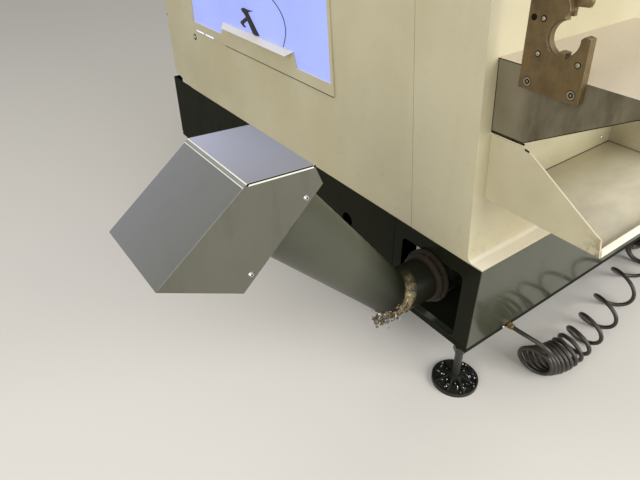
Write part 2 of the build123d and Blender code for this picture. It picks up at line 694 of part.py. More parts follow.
def window_hatch():
    """Lift-up sash with its pull lip and two hinge knuckles."""
    z0, z1 = HATCH_Z
    (low_y, low_z), (rear_y, _), _, (high_y, high_z) = PANE_OPENING
    lean = (high_y - low_y) / (high_z - low_z)
    front = low_y - HATCH_BORDER
    rear = rear_y + HATCH_BORDER
    outline = [(front - (low_z - z0) * lean, z0), (rear, z0), (rear, z1), (front + (z1 - low_z) * lean, z1)]
    sash = prism_x(outline, -5, -1)
    sash -= Pos(-6, 0, 0) * extrude(grown(PANE_OPENING, 0), amount=6, dir=(1, 0, 0))
    sash += prism_x(LIP_TAB, -5, -1)
    top = LIP_TAB[1][1]
    edge = top - LIP_DROP
    rear = LIP_TAB[2][0]
    section = [(-4, top - LIP_T), (-LIP_REACH, edge - LIP_T), (-LIP_REACH, edge), (-4, top)]
    lip = prism_y(section, LIP_TAB[1][0], rear)
    mitre = [(-5, rear), (-LIP_REACH - 1, rear - LIP_MITRE), (-LIP_REACH - 1, rear + 1), (-5, rear + 1)]
    sash += lip - prism_z(mitre, edge - 5, top + 1)
    x, z = HATCH_AXIS
    for low, middle, high in hinge_places():
        leaf = block(-5, -1, low, middle, z1 - 1, z + 1)
        sash += leaf + rod((x, low, z), (x, middle, z), HINGE_R)
    bores = union(
        rod((x, low - 1, z), (x, high + 1, z), HINGE_PIN_R + PIN_CLEARANCE)
        for low, middle, high in hinge_places()
    )
    return sash - bores


def window_pane():
    return Pos(-1, 0, 0) * extrude(grown(PANE_OPENING, PANE_MARGIN), amount=4, dir=(1, 0, 0))


def door_left():
    """Sliding door: a folded pan with a window opening and a full-height handle."""
    x0, x1 = DOOR_OPENING_X[0] - DOOR_LAP, WIDTH / 2 - 1
    near, far = DOOR_GAP, DOOR_GAP + DOOR_T
    pan = on_wall(x0, x1, DOOR_BOTTOM, DOOR_TOP, near, far)
    pan -= on_wall(x0 + DOOR_SHEET, x1 - DOOR_SHEET, DOOR_BOTTOM + DOOR_SHEET, DOOR_TOP - DOOR_SHEET,
                   near - 1, far - DOOR_SHEET)
    opening = on_wall(x0 + DOOR_RIM, x1 - DOOR_RIM, DOOR_BOTTOM + 130, DOOR_TOP - 130, near - 5, far + 5)
    return pan - opening


def door_pane():
    x0, x1 = DOOR_OPENING_X[0] - DOOR_LAP + DOOR_RIM - 15, WIDTH / 2 - 1 - DOOR_RIM + 15
    far = DOOR_GAP + DOOR_T - DOOR_SHEET
    return on_wall(x0, x1, DOOR_BOTTOM + 115, DOOR_TOP - 115, far - PANE_T, far)


def door_handle():
    x = WIDTH / 2 - 38
    foot = DOOR_GAP + DOOR_T
    middle = 1500.0
    low = (middle - HANDLE_LENGTH / 2 - WALL_FOOT[1]) / cos(WALL_LEAN)
    high = low + HANDLE_LENGTH
    reach = foot + HANDLE_STAND
    path = FilletPolyline((x, low, foot), (x, low, reach), (x, high, reach), (x, high, foot), radius=22)
    bar = sweep(Plane(origin=(x, low, foot), z_dir=(0, 0, 1)) * Circle(HANDLE_R), path)
    return WALL * bar


def door_rails():
    x0, x1 = DOOR_RAIL_INSET, WIDTH - DOOR_RAIL_INSET
    lower = on_wall(x0, x1, DOOR_BOTTOM - RAIL_HEIGHT, DOOR_BOTTOM - 0.5, 0, DOOR_GAP + DOOR_T)
    lower -= on_wall(x0 - 1, x1 + 1, DOOR_BOTTOM - 8, DOOR_BOTTOM + 1, 14, DOOR_GAP + DOOR_T - 4)
    upper = on_wall(x0, x1, DOOR_TOP + 0.5, DOOR_TOP + 50, 0, DOOR_GAP + DOOR_T)
    upper -= on_wall(x0 - 1, x1 + 1, DOOR_TOP - 1, DOOR_TOP + 30, 5, DOOR_GAP + DOOR_T - 4)
    return group([lower, upper])


# Shelf, tray and fixture

def work_shelf():
    x0, x1 = SHELF_X
    foot = (wall_y(807.0), 807.0)
    side = [foot, *SHELF_SIDE, (SHELF_FRONT, SHELF_TOP), (wall_y(SHELF_TOP), SHELF_TOP)]
    body = prism_x(side, x0, x1)
    roof = SHELF_TOP - SHELF_T
    lip = SHELF_FRONT + SHELF_T
    hollow = [(wall_y(700) - SHELF_T, 700), (lip, 700), (lip, roof), (wall_y(roof) - SHELF_T, roof)]
    body -= prism_x(hollow, x0 + SHELF_T, x1 - SHELF_T)
    for y, z in FIXTURE_BOLTS:
        body -= rod((x0 - 1, y, z), (x0 + SHELF_T + 1, y, z), BOLT_R + 0.3)
    return body


def catch_tray():
    x0, x1 = TRAY_X
    back = wall_y(TRAY_TOP)
    side = [(back, TRAY_TOP), *TRAY_SIDE, (wall_y(TRAY_FLOOR), TRAY_FLOOR)]
    body = prism_x(side, x0, x1)
    floor = TRAY_FLOOR + TRAY_T
    hollow = [(wall_y(floor) - TRAY_T, floor), (-246.3, floor), (-242.0, TRAY_LIP), (-300, TRAY_LIP),
              (-300, 900), (wall_y(900) - TRAY_T, 900)]
    return body - prism_x(hollow, x0 + TRAY_T, x1 - TRAY_T)


def fixture_plate():
    """Tool-tightening fixture: a plate with a stepped C opening and counterbored holes."""
    x1 = SHELF_X[0]
    x0 = x1 - FIXTURE_T
    plate = prism_x(FIXTURE_OUTLINE, x0, x1)
    corner = [e for e in plate.edges().filter_by(Axis.X) if e.center().Y < -118 and e.center().Z < 935]
    plate = fillet(corner, 5)
    y, z, radius = FIXTURE_BORE
    plate -= rod((x0 - 1, y, z), (x1 + 1, y, z), radius)
    plate -= rod((x0 - 1, y, z), (x0 + 4, y, z), FIXTURE_RIM_R)
    for y, z, radius in FIXTURE_HOLES:
        plate -= rod((x0 - 1, y, z), (x1 + 1, y, z), radius)
    for y, z in FIXTURE_BOLTS:
        plate -= rod((x0 - 1, y, z), (x1 + 1, y, z), BOLT_R + 0.3)
        plate -= rod((x0 - 1, y, z), (x0 + BOLT_HEAD_T + 1, y, z), BOLT_HEAD_R + 0.8)
    y, z = LEVER_PIVOT
    plate -= rod((x0 - 1, y, z), (x1 + 1, y, z), LEVER_PIN_R + PIN_CLEARANCE)
    y, z, radius = FIXTURE_BORE
    return plate + block(x0 - 3, x1, y - 12, y + 4, z - radius - 4, z - radius + 9)


def fixture_bolts():
    x0 = SHELF_X[0] - FIXTURE_T
    seat = x0 + BOLT_HEAD_T + 1
    bolts = []
    for y, z in FIXTURE_BOLTS:
        bolt = rod((x0 + 1, y, z), (seat, y, z), BOLT_HEAD_R) + rod((seat, y, z), (62, y, z), BOLT_R)
        bolt -= hexagon((x0, y, z), (x0 + 6, y, z), 8)
        bolts.append(bolt)
    return group(bolts)


def fixture_nuts():
    inside = SHELF_X[0] + SHELF_T
    nuts = []
    for y, z in FIXTURE_BOLTS:
        nut = hexagon((inside, y, z), (inside + 8, y, z), 17)
        nuts.append(nut - rod((inside - 1, y, z), (inside + 9, y, z), BOLT_R + 0.02))
    return group(nuts)


def fixture_lever():
    """Stop lever that swings over the opening, on its own round pin."""
    x0 = SHELF_X[0] + 0.4
    y, z = LEVER_PIVOT
    outline = [
        (y + 14, z - 12), (y + 14, z + 14), (y - 20, z + 14), (y - 78, z - 2), (y - 78, z - 16),
        (y - 30, z - 12),
    ]
    arm = prism_x(outline, x0, x0 + LEVER_T)
    arm = fillet(arm.edges().filter_by(Axis.X), 5)
    pin = rod((x0 - FIXTURE_T - 3, y, z), (x0 + LEVER_T + 26, y, z), LEVER_PIN_R)
    knob = rod((x0 + LEVER_T + 26, y, z), (x0 + LEVER_T + 34, y, z), 12)
    return arm + pin + knob


# Chip pan, auger, discharge tube, hood

def chip_pan():
    """Gutter round the auger screw with sloping sheets on both sides."""
    r, t = TROUGH_R, SKIRT_T
    y, z = AUGER_Y, AUGER_Z
    top = z + 70
    outer = prism_x([(y - r - t, z), (y + r + t, z), (y + r + t, top), (y - r - t, top)], 12, WIDTH - 12)
    outer += rod((12, y, z), (WIDTH - 12, y, z), r + t)
    inner = prism_x([(y - r, z), (y + r, z), (y + r, z + 90), (y - r, z + 90)], 15, WIDTH - 15)
    inner += rod((15, y, z), (WIDTH - 15, y, z), r)
    gutter = outer - inner
    low, high = SKIRT_TOP - 4, SKIRT_TOP - 1
    for edge, side in ((t, -1), (BED_FRONT, 1)):
        rim = y + side * (r + 1)
        gutter += prism_x([(edge, low), (rim, top - t), (rim, top), (edge, high)], 12, WIDTH - 12)
    ends = rod((11, y, z), (16, y, z), STUB_R - TUBE_WALL) + rod((WIDTH - 16, y, z), (WIDTH - 11, y, z), 20.5)
    return gutter - ends


def side_pan():
    """Sloping sheet between the side panel and the bed."""
    low, high = SKIRT_TOP - 4, SKIRT_TOP - 1
    left = prism_y([(SKIRT_T, low), (BED_X, 294), (BED_X, 298), (SKIRT_T, high)], BED_FRONT + 2, COLUMN_FRONT)
    return group([left, mirrored(left)])


def auger_screw():
    """Shaft with one helical flight, a thin blade turned about the axis as it runs along."""
    x0, x1 = SCREW_X
    length = x1 - x0 - 40
    centre = Vector(x0, AUGER_Y, AUGER_Z)
    blade = Plane(origin=(x0, AUGER_Y, AUGER_Z), x_dir=(0, 1, 0), z_dir=(1, 0, 0)) * (
        Pos((SCREW_SHAFT_R + SCREW_R) / 2 - 3, 0) * Rectangle(SCREW_R - SCREW_SHAFT_R + 6, FLIGHT_T * 2)
    )
    flight = Solid.extrude_linear_with_rotation(
        blade.faces()[0], center=centre, normal=Vector(length, 0, 0), angle=360 * length / SCREW_PITCH
    )
    shaft = rod((x0 - 6, AUGER_Y, AUGER_Z), (WIDTH + 10, AUGER_Y, AUGER_Z), SCREW_SHAFT_R)
    return shaft + flight


def auger_motor():
    """Gearbox and motor on the right skirt."""
    y, z = AUGER_Y, AUGER_Z
    plate = block(WIDTH, WIDTH + 10, y - 80, y + 80, z - 80, z + 80)
    gearbox = block(WIDTH + 10, WIDTH + 110, y - 60, y + 60, z - 60, z + 60)
    gearbox = fillet(gearbox.edges().filter_by(Axis.X), 18)
    motor = rod((WIDTH + 60, y + 59, z), (WIDTH + 60, y + 230, z), 52)
    shaft = rod((WIDTH - 1, y, z), (WIDTH + 14, y, z), SCREW_SHAFT_R + 0.3)
    return plate + gearbox + motor - shaft


def drive_motors():
    """Motors fixed to the frame: the auger's, and the servo on the column."""
    x, y = SPINDLE_X, COLUMN_FRONT + 60
    return group([auger_motor(), servo((x, y, COLUMN_TOP), (x, y, COLUMN_TOP + 190), 140)])


ELBOW = Vector(ELBOW_X, AUGER_Y, AUGER_Z)
RISE = Vector(-cos(TUBE_RISE), 0, sin(TUBE_RISE))
MITRE = (Vector(-1, 0, 0) + RISE).normalized()


def bent_tube(shrink, start_x):
    """Stub and rising cone that meet in a mitre; shrink is taken off both radii."""
    mitre = Plane(origin=tuple(ELBOW), z_dir=MITRE)
    stub = rod((start_x, AUGER_Y, AUGER_Z), (ELBOW_X - 90, AUGER_Y, AUGER_Z), STUB_R - shrink)
    slope = (TUBE_R_HIGH - TUBE_R_LOW) / TUBE_LENGTH
    low = ELBOW - RISE * 80
    high = ELBOW + RISE * (TUBE_LENGTH + (1 if shrink else 0))
    cone = rod(tuple(low), tuple(high), TUBE_R_LOW - 80 * slope - shrink, TUBE_R_HIGH - shrink)
    stub = split(stub, bisect_by=mitre, keep=Keep.BOTTOM)
    cone = split(cone, bisect_by=mitre, keep=Keep.TOP)
    return stub + cone


def discharge_tube():
    return bent_tube(0, 12) - bent_tube(TUBE_WALL, 13)


def tube_rings():
    """Bolted flange and clamp ring on the stub outside the skirt."""
    y, z = AUGER_Y, AUGER_Z
    flange = rod((-15, y, z), (-4, y, z), 80) + rod((-36, y, z), (-20, y, z), 71)
    flange += rod((-21, y, z), (-14, y, z), 66)
    flange -= rod((-40, y, z), (0, y, z), STUB_R + 0.05)
    for turn in range(6):
        angle = radians(60 * turn + 30)
        cy, cz = y + 74 * cos(angle), z + 74 * sin(angle)
        flange += hexagon((-20, cy, cz), (-14.5, cy, cz), 8)
    return flange


def hood_prism(inset, y0, y1):
    face = make_face(Polyline(*[(x, y0, z) for x, z in HOOD_OUTLINE], close=True))
    if inset:
        face = offset(face, -inset, kind=Kind.INTERSECTION)
    return extrude(face, amount=y1 - y0, dir=(0, 1, 0))


def hood():
    """Folded hood, open on its lower side, with a round hole that the tube enters by."""
    y0, y1 = HOOD_Y
    shell = hood_prism(0, y0, y1) - hood_prism(HOOD_T, y0 + HOOD_T, y1 - HOOD_T)
    (hx, hz), (gx, gz) = HOOD_OUTLINE[3], HOOD_OUTLINE[4]
    reach = Vector(gx - hx, 0, gz - hz)
    mouth = Plane(
        origin=((hx + gx) / 2, (y0 + y1) / 2, (hz + gz) / 2), x_dir=reach, z_dir=(0, 1, 0)
    ) * Box(reach.length - 8, 12, y1 - y0 - 2 * HOOD_T)
    shell -= mouth
    shell -= bent_tube(-0.05, -20)
    for x, z in HOOD_SCREWS:
        shell -= rod((x, y0 - 1, z), (x, y0 + HOOD_T + 1, z), 3.1)
    return shell


def hood_collar():
    """Ring welded round the tube just outside the hood's wall."""
    at = 580.0
    ring = rod(tuple(ELBOW + RISE * (at - 8)), tuple(ELBOW + RISE * at), 97)
    return ring - bent_tube(-0.05, -20)


def hood_screws():
    y0 = HOOD_Y[0]
    screws = []
    for x, z in HOOD_SCREWS:
        head = rod((x, y0, z), (x, y0 - 3.4, z), HOOD_SCREW_R, HOOD_SCREW_R - 2)
        head -= hexagon((x, y0 - 4, z), (x, y0 - 1.6, z), 4)
        screws.append(head + rod((x, y0, z), (x, y0 + 9, z), 3))
    return group(screws)


# Carousel

def carousel():
    """Tool disc with a ring of open pockets, its hub and its drive pins."""
    cx, cy = CAROUSEL_X, SPINDLE_Y
    z0, z1 = DISC_Z
    disc = rod((cx, cy, z0), (cx, cy, z1), DISC_R)
    for index in range(POCKETS):
        angle = 2 * pi * index / POCKETS
        px, py = cx + POCKET_CIRCLE * cos(angle), cy + POCKET_CIRCLE * sin(angle)
        qx, qy = cx + (DISC_R + 20) * cos(angle), cy + (DISC_R + 20) * sin(angle)
        disc -= rod((px, py, z0 - 1), (px, py, z1 + 1), POCKET_R)
        slot = Pos((px + qx) / 2, (py + qy) / 2, (z0 + z1) / 2) * Rot(0, 0, degrees(angle)) * Box(52, 46, 30)
        disc -= slot
    hub = rod((cx, cy, z1 - 1), (cx, cy, CAROUSEL_ARM_Z[0] - 0.3), 55)
    return disc + hub


def carousel_cover():
    """Shallow round cover fixed to the arm above the disc."""
    radius, t = CAROUSEL_COVER_R, CAROUSEL_COVER_T
    low, high = DISC_Z[1] + 16, DISC_Z[1] + 116
    outline = Polyline(
        (56, high), (radius - 30, high), (radius, high - 30), (radius, low), (radius - t, low),
        (radius - t, high - 31), (radius - 31, high - t), (56, high - t), close=True,
    )
    return Pos(CAROUSEL_X, SPINDLE_Y, 0) * revolve(Plane.XZ * make_face(outline), Axis.Z)


def carousel_arm():
    """Arm that carries the disc and slides along the beam."""
    cx = CAROUSEL_X
    low, high = CAROUSEL_ARM_Z
    y1 = BEAM_Y[0] - 20
    arm = block(cx - 55, cx + 55, SPINDLE_Y - 60, y1, low, high)
    arm = fillet(arm.edges().filter_by(Axis.Z).sort_by(Axis.Y)[:2], 50)
    back = block(cx - 90, cx + 90, y1 - 28, y1, BEAM_Z[0] - 20, BEAM_Z[1] + 20)
    webs = union(
        prism_x([(y1 - 210, high - 1), (y1 - 20, high - 1), (y1 - 20, BEAM_Z[1])], x, x + 10)
        for x in (cx - 45, cx + 35)
    )
    post = block(cx - 110, cx - 95, SPINDLE_Y - 20, SPINDLE_Y + 20, low - 26, low + 14)
    cap = block(cx - 110, cx - 50, SPINDLE_Y - 20, SPINDLE_Y + 20, low + 4, high - 2)
    shoes = union(
        block(cx + side * 60 - 25, cx + side * 60 + 25, y1 - 1, y1 + 4.7, z - 12, z + 12)
        for side in (-1, 1) for z in BEAM_RAIL_Z
    )
    return arm + back + webs + post + cap + shoes


def carousel_motor():
    top = CAROUSEL_ARM_Z[1]
    return servo((CAROUSEL_X, SPINDLE_Y, top), (CAROUSEL_X, SPINDLE_Y, top + 146), 110)


def carousel_beam():
    """Beam with two round guide rails, held on the column's side."""
    x0, x1 = BEAM_LEFT, COLUMN_X[0]
    y0, y1 = BEAM_Y
    low, high = BEAM_Z
    beam = block(x0, x1 + 5, y0, y1, low, high)
    leg = block(x1 - 60, x1, y1 - 1, COLUMN_FRONT + 110, low, high)
    y = y0 - BEAM_RAIL_R + 1
    rails = union(rod((x0, y, z), (x1, y, z), BEAM_RAIL_R) for z in BEAM_RAIL_Z)
    ties = union(block(x, x + 20, y - 3, y0 + 2, low + 20, high - 20) for x in (x0, x1 - 20))
    return beam + leg + rails + ties


# Pendant

def pendant_post():
    """Bracket and upright pivot post on the right front corner."""
    x, y = POST
    z0, z1 = POST_Z
    post = rod((x, y, z0), (x, y, z1), POST_R - 5)
    lower = block(WIDTH, x + 26, y - 26, y + 26, z0 - 20, z0)
    upper = block(WIDTH, x + 26, y - 26, y + 26, z1, z1 + 20)
    back = block(WIDTH, WIDTH + 8, y - 60, y + 60, z0 - 30, z1 + 30)
    return back + lower + upper + post


def pendant_arm():
    """Swivel sleeve and a bent tube that reaches forward over the pendant."""
    x, y = POST
    middle = (PENDANT_X[0] + PENDANT_X[1]) / 2
    front = (PENDANT_Y[0] + PENDANT_Y[1]) / 2
    sleeve = rod((x, y, POST_Z[0] + 0.5), (x, y, POST_Z[1] - 0.5), POST_R)
    path = FilletPolyline(
        (x, y - 10, ARM_Z), (x, front, ARM_Z), (middle, front, ARM_Z), (middle, front, PENDANT_Z[1]),
        radius=ARM_BEND,
    )
    tube = sweep(Plane(origin=(x, y - 10, ARM_Z), z_dir=(0, -1, 0)) * Circle(ARM_R), path)
    return sleeve + tube - rod((x, y, POST_Z[0]), (x, y, POST_Z[1]), POST_R - 5 + PIN_CLEARANCE)


def pendant_box():
    """Control box with a screen recess above a sloped key panel."""
    x0, x1 = PENDANT_X
    y0, y1 = PENDANT_Y
    z0, z1 = PENDANT_Z
    side = [
        (y1, z0 + 20), (y1, z1), (y0 + 20, z1), (y0 + 20, z0 + 230), (y0, z0 + 210), (y0, z0), (y1 - 30, z0),
    ]
    body = prism_x(side, x0, x1)
    screen = block(x0 + 45, x0 + 335, y0 + 10, y0 + 26, z1 - 260, z1 - 40)
    body -= screen
    wells = [rod((x, y0 - 1, z), (x, y0 + 24, z), radius) for x, z, radius in control_places().values()]
    return body - union(wells)


def control_places():
    """Centre and well radius of each pressed or turned control, in X and Z."""
    x0 = PENDANT_X[0]
    z0 = PENDANT_Z[0]
    return {
        "estop": (x0 + 360, z0 + 160, 12.0),
        "start": (x0 + 70, z0 + 60, 12.0),
        "wheel": (x0 + 250, z0 + 110, 12.0),
    }


def push_button(name, cap_r, cap_t, travel):
    """Button: a shank in its well and a cap that stands off by its travel."""
    x, z, well = control_places()[name]
    y0 = PENDANT_Y[0]
    shank = rod((x, y0 + 10, z), (x, y0 - travel, z), well - 0.5)
    return shank + rod((x, y0 - travel + 1, z), (x, y0 - travel - cap_t, z), cap_r, cap_r - 2)


def handwheel():
    """Jog handwheel with a dished face and a crank grip."""
    x, z, well = control_places()["wheel"]
    y0 = PENDANT_Y[0]
    outline = Polyline(
        (0, 1), (38, 1), (40, 4), (40, 12), (36, 15), (30, 12), (14, 12), (12, 16), (0, 16), close=True
    )
    wheel = Plane(origin=(x, y0, z), x_dir=(1, 0, 0), z_dir=(0, -1, 0)) * revolve(
        Plane.XZ * make_face(outline), Axis.Z
    )
    grip = rod((x + 28, y0 - 11, z), (x + 28, y0 - 38, z), 6, 8)
    return wheel + grip + rod((x, y0 - 2, z), (x, y0 + 20, z), well - 0.5)


# Cabinet and tank

def cabinet():
    """Electrical cabinet, open at the back where its door closes it."""
    x0, x1 = CABINET_X
    y0, y1 = CABINET_Y
    z0, z1 = CABINET_Z
    body = block(x0, x1, y0, y1, z0, z1)
    hollow = block(x0 + 3, x1 - 3, y0 + 60, y1 + 1, z0 + 3, z1 - 3)
    hangers = union(
        block(x, x + 60, COLUMN_REAR, y0 + 1, z, z + 80)
        for x in (SPINDLE_X - 200, SPINDLE_X + 140) for z in (700, 1200)
    )
    hinge = union(rod((x0 - 8, y1 + 4, z), (x0 - 8, y1 + 4, z + 60), 5) for z in (z0 + 120, z1 - 180))
    tabs = union(block(x0 - 8, x0 + 1, y1 - 20, y1 + 1, z, z + 60) for z in (z0 + 120, z1 - 180))
    return body - hollow + hangers + hinge + tabs


def cabinet_door():
    x0, x1 = CABINET_X
    y1 = CABINET_Y[1]
    z0, z1 = CABINET_Z
    pan = block(x0 + 1, x1 - 1, y1 + 1, y1 + CABINET_DOOR_T, z0 + 2, z1 - 2)
    pan -= block(x0 + 4, x1 - 4, y1 - 1, y1 + CABINET_DOOR_T - 3, z0 + 5, z1 - 5)
    pin_x, pin_y = x0 - 8, y1 + 4
    knuckles = union(
        rod((pin_x, pin_y, z), (pin_x, pin_y, z + 40), 5) + block(pin_x, x0 + 5, y1 + 5, y1 + 9, z, z + 40)
        for z in (z0 + 181, z1 - 119)
    )
    outer = y1 + CABINET_DOOR_T
    louvres = union(
        block(x0 + 300, x0 + 660, outer - 4, outer + 1, z0 + rise, z0 + rise + 8)
        for rise in range(90, 250, 24)
    )
    shaft = rod((x1 - 120, y1, DISCONNECT_Z), (x1 - 120, y1 + 40, DISCONNECT_Z), 10)
    return pan + knuckles - louvres - shaft


def disconnect_handle():
    """Rotary main switch handle on the cabinet door."""
    x, y, z = CABINET_X[1] - 120, CABINET_Y[1] + CABINET_DOOR_T + 0.3, DISCONNECT_Z
    body = rod((x, y, z), (x, y + 10, z), 34)
    grip = fillet(block(x - 11, x + 11, y + 9, y + 34, z - 46, z + 34).edges().filter_by(Axis.Y), 9)
    return body + grip + rod((x, y + 1, z), (x, y - 20, z), 9.95)


def coolant_tank():
    x0, x1 = TANK_X
    y0, y1 = TANK_Y
    body = fillet(block(x0, x1, y0, y1, 0, TANK_TOP).edges().filter_by(Axis.Z), 20)
    body -= block(x0 + 4, x1 - 4, y0 + 4, y1 - 4, 6, TANK_TOP - 4)
    return body - rod((x0 + 130, y0 + 130, TANK_TOP - 5), (x0 + 130, y0 + 130, TANK_TOP + 1), 55)


def coolant_pump():
    x, y = TANK_X[0] + 130, TANK_Y[0] + 130
    base = rod((x, y, TANK_TOP), (x, y, TANK_TOP + 12), 80)
    motor = rod((x, y, TANK_TOP + 12), (x, y, TANK_TOP + 190), 58)
    cap = rod((x, y, TANK_TOP + 190), (x, y, TANK_TOP + 214), 50)
    stem = rod((x, y, 60), (x, y, TANK_TOP + 1), 42)
    outlet = rod((x, y, TANK_TOP + 40), (x + 110, y, TANK_TOP + 40), 17)
    return base + motor + cap + stem + outlet


# Air hose

def corner_radii(route):
    """Radius of the tangent arc at each inner point of a route."""
    points = [Vector(*point) for point in route]
    radii = []
    for before, here, after in zip(points, points[1:], points[2:]):
        run_in, run_out = here - before, after - here
        turn = run_in.get_angle(run_out)
        radii.append(0.45 * min(run_in.length, run_out.length) / tan(radians(turn) / 2))
    return radii


def tube_along(route, radius, name):
    """Round tube on straight runs joined by tangent arcs."""
    radii = corner_radii(route)
    path = FilletPolyline(*route, radius=radii)
    heading = Vector(*route[1]) - Vector(*route[0])
    tube = sweep(Plane(origin=route[0], z_dir=heading) * Circle(radius), path)
    share = tube.volume / (pi * radius * radius * path.length)
    print(name, "radii", [round(r) for r in radii], "volume over section times length", round(share, 4))
    return tube


def air_fitting():
    x, z = FITTING
    body = hexagon((x, -9, z), (x, 0, z), 19)
    nut = hexagon((x, -17, z), (x, -10, z), 17)
    return body + nut + rod((x, -FITTING_REACH, z), (x, -1, z), 6.5)


def air_hose_coil():
    return tube_along(COIL_ROUTE, COIL_R, "air_hose_coil")


def gun_plane():
    """Plane of the blow gun: it lies where the hose ends, in line with the last run."""
    before, end = Vector(*TAIL_ROUTE[-2]), Vector(*TAIL_ROUTE[-1])
    return Plane(origin=tuple(end), x_dir=end - before, z_dir=(0, 0, 1))


def blow_gun():
    """Pistol-shaped blow gun lying on its side, with its nozzle."""
    lay = gun_plane()
    upward = (Align.CENTER, Align.CENTER, Align.MIN)
    grip = fillet((lay * (Pos(58, 0, 0) * Box(96, 28, 24))).edges(), 7)
    body = fillet((lay * (Pos(112, 16, 0) * Box(34, 78, 22))).edges(), 6)
    nozzle = lay * (Pos(112, 54, 0) * Rot(-90, 0, 0) * Cylinder(4, 90, align=upward))
    inlet = lay * (Rot(0, 90, 0) * Cylinder(8, 16, align=upward))
    return grip + body + nozzle + inlet


def blow_gun_lever():
    """Trigger beside the grip, guided in the head."""
    outline = Polyline((28, 34), (90, 30), (94.5, 36), (94.5, 44), (86, 42), (28, 42), close=True)
    return gun_plane() * (Pos(0, 0, -8) * extrude(make_face(outline), 16))


ON_HOSE = ("air_fitting", "air_hose_lead", "air_hose_coil", "air_hose_tail", "blow_gun", "blow_gun_lever")


def build_nodes():
    """Every node's name with its shape, in the machine's own frame."""
    left_door, left_pane = group([door_left(), door_handle()]), door_pane()
    front = SPINDLE_Y - SADDLE_Y / 2
    return {
        "base_casting": base_casting(),
        "skirt_front": skirt_front(),
        "side_skirts": group([skirt_side(), mirrored(skirt_side())]),
        "levelling_screws": levelling_screws(),
        "levelling_pads": levelling_pads(),
        "frame_rails": group([y_rails(), z_rails()]),
        "column": column(),
        "saddle": saddle(),
        "x_rails": x_rails(),
        "table": table(),
        "way_cover_fixed": fixed_cover(COVER_LENGTH, COVER_FRONT),
        "way_cover_middle": cover_stage(1, COVER_LENGTH, (COVER_FRONT + front - COVER_LENGTH) / 2),
        "way_cover_saddle": cover_stage(0, COVER_LENGTH, front - COVER_LENGTH),
        "spindle_head": spindle_head(),
        "spindle": spindle(),
        "spindle_motor": spindle_motor(),
        "front_panel_left": front_panel_left(),
        "front_panel_right": mirrored(front_panel_left()),
        "front_crosspieces": group([front_sill(), front_header()]),
        "left_side_panel": left_side_panel(),
        "right_side_panel": right_side_panel(),
        "rear_panel": rear_panel(),
        "window_hatch": window_hatch(),
        "window_pane": window_pane(),
        "door_left": left_door,
        "door_right": mirrored(left_door),
        "door_pane_left": left_pane,
        "door_pane_right": mirrored(left_pane),
        "door_rails": door_rails(),
        "work_shelf": work_shelf(),
        "catch_tray": catch_tray(),
        "fixture_plate": fixture_plate(),
        "fixture_bolts": group([fixture_bolts(), fixture_nuts()]),
        "fixture_lever": fixture_lever(),
        "chip_pan": group([chip_pan(), side_pan()]),
        "auger_screw": auger_screw(),
        "drive_motors": drive_motors(),
        "discharge_tube": discharge_tube(),
        "tube_rings": group([tube_rings(), hood_collar()]),
        "hood": hood(),
        "hood_screws": hood_screws(),
        "carousel": carousel(),
        "carousel_arm": group([carousel_arm(), carousel_cover(), carousel_motor()]),
        "carousel_beam": carousel_beam(),
        "pendant_post": pendant_post(),
        "pendant_arm": pendant_arm(),
        "pendant_box": pendant_box(),
        "estop_button": push_button("estop", 20.0, 16.0, 5.0),
        "start_button": push_button("start", 13.0, 7.0, 4.0),
        "handwheel": handwheel(),
        "cabinet": cabinet(),
        "cabinet_door": cabinet_door(),
        "disconnect_handle": disconnect_handle(),
        "coolant_tank": group([coolant_tank(), coolant_pump()]),
        "air_fitting": air_fitting(),
        "air_hose_lead": tube_along(LEAD_ROUTE, HOSE_R, "air_hose_lead"),
        "air_hose_coil": air_hose_coil(),
        "air_hose_tail": tube_along(TAIL_ROUTE, HOSE_R, "air_hose_tail"),
        "blow_gun": blow_gun(),
        "blow_gun_lever": blow_gun_lever(),
    }


def centred(nodes):
    """Middle of the machine in X and Y, measured without the hose and what hangs on it."""
    boxes = [shape.bounding_box() for name, shape in nodes.items() if name not in ON_HOSE]
    low = [min(box.min.X for box in boxes), min(box.min.Y for box in boxes)]
    high = [max(box.max.X for box in boxes), max(box.max.Y for box in boxes)]
    return Pos(-(low[0] + high[0]) / 2, -(low[1] + high[1]) / 2, 0)


if __name__ == "__main__":
    os.makedirs("parts", exist_ok=True)
    machine = build_nodes()
    shift = centred(machine)
    print("nodes", len(machine), "shift", shift.position)
    for name, shape in machine.items():
        export_step(shift * shape, "parts/" + name + ".step")
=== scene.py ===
"""Looks of the vertical machining center: finishes, the curly air hose and the small details."""

import json
import logging
import math
import random
from dataclasses import dataclass
from enum import Enum

import bmesh
import bpy
from mathutils import Matrix, Vector


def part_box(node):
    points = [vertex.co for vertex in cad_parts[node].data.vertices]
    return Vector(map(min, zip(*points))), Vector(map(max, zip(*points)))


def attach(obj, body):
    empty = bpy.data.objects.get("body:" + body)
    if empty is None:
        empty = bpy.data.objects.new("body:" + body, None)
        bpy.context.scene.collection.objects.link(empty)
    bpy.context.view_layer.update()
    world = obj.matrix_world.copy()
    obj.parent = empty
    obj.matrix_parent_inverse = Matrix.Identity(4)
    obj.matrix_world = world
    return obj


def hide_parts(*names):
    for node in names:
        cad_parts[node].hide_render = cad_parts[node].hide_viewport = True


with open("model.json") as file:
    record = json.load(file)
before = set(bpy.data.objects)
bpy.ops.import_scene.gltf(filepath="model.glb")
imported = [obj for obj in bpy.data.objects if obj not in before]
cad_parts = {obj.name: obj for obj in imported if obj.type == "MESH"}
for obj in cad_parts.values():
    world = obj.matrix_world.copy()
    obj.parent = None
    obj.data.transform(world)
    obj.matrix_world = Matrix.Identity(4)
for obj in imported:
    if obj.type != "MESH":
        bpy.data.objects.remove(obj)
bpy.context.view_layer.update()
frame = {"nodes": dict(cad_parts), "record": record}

log = logging.getLogger("machining_center")

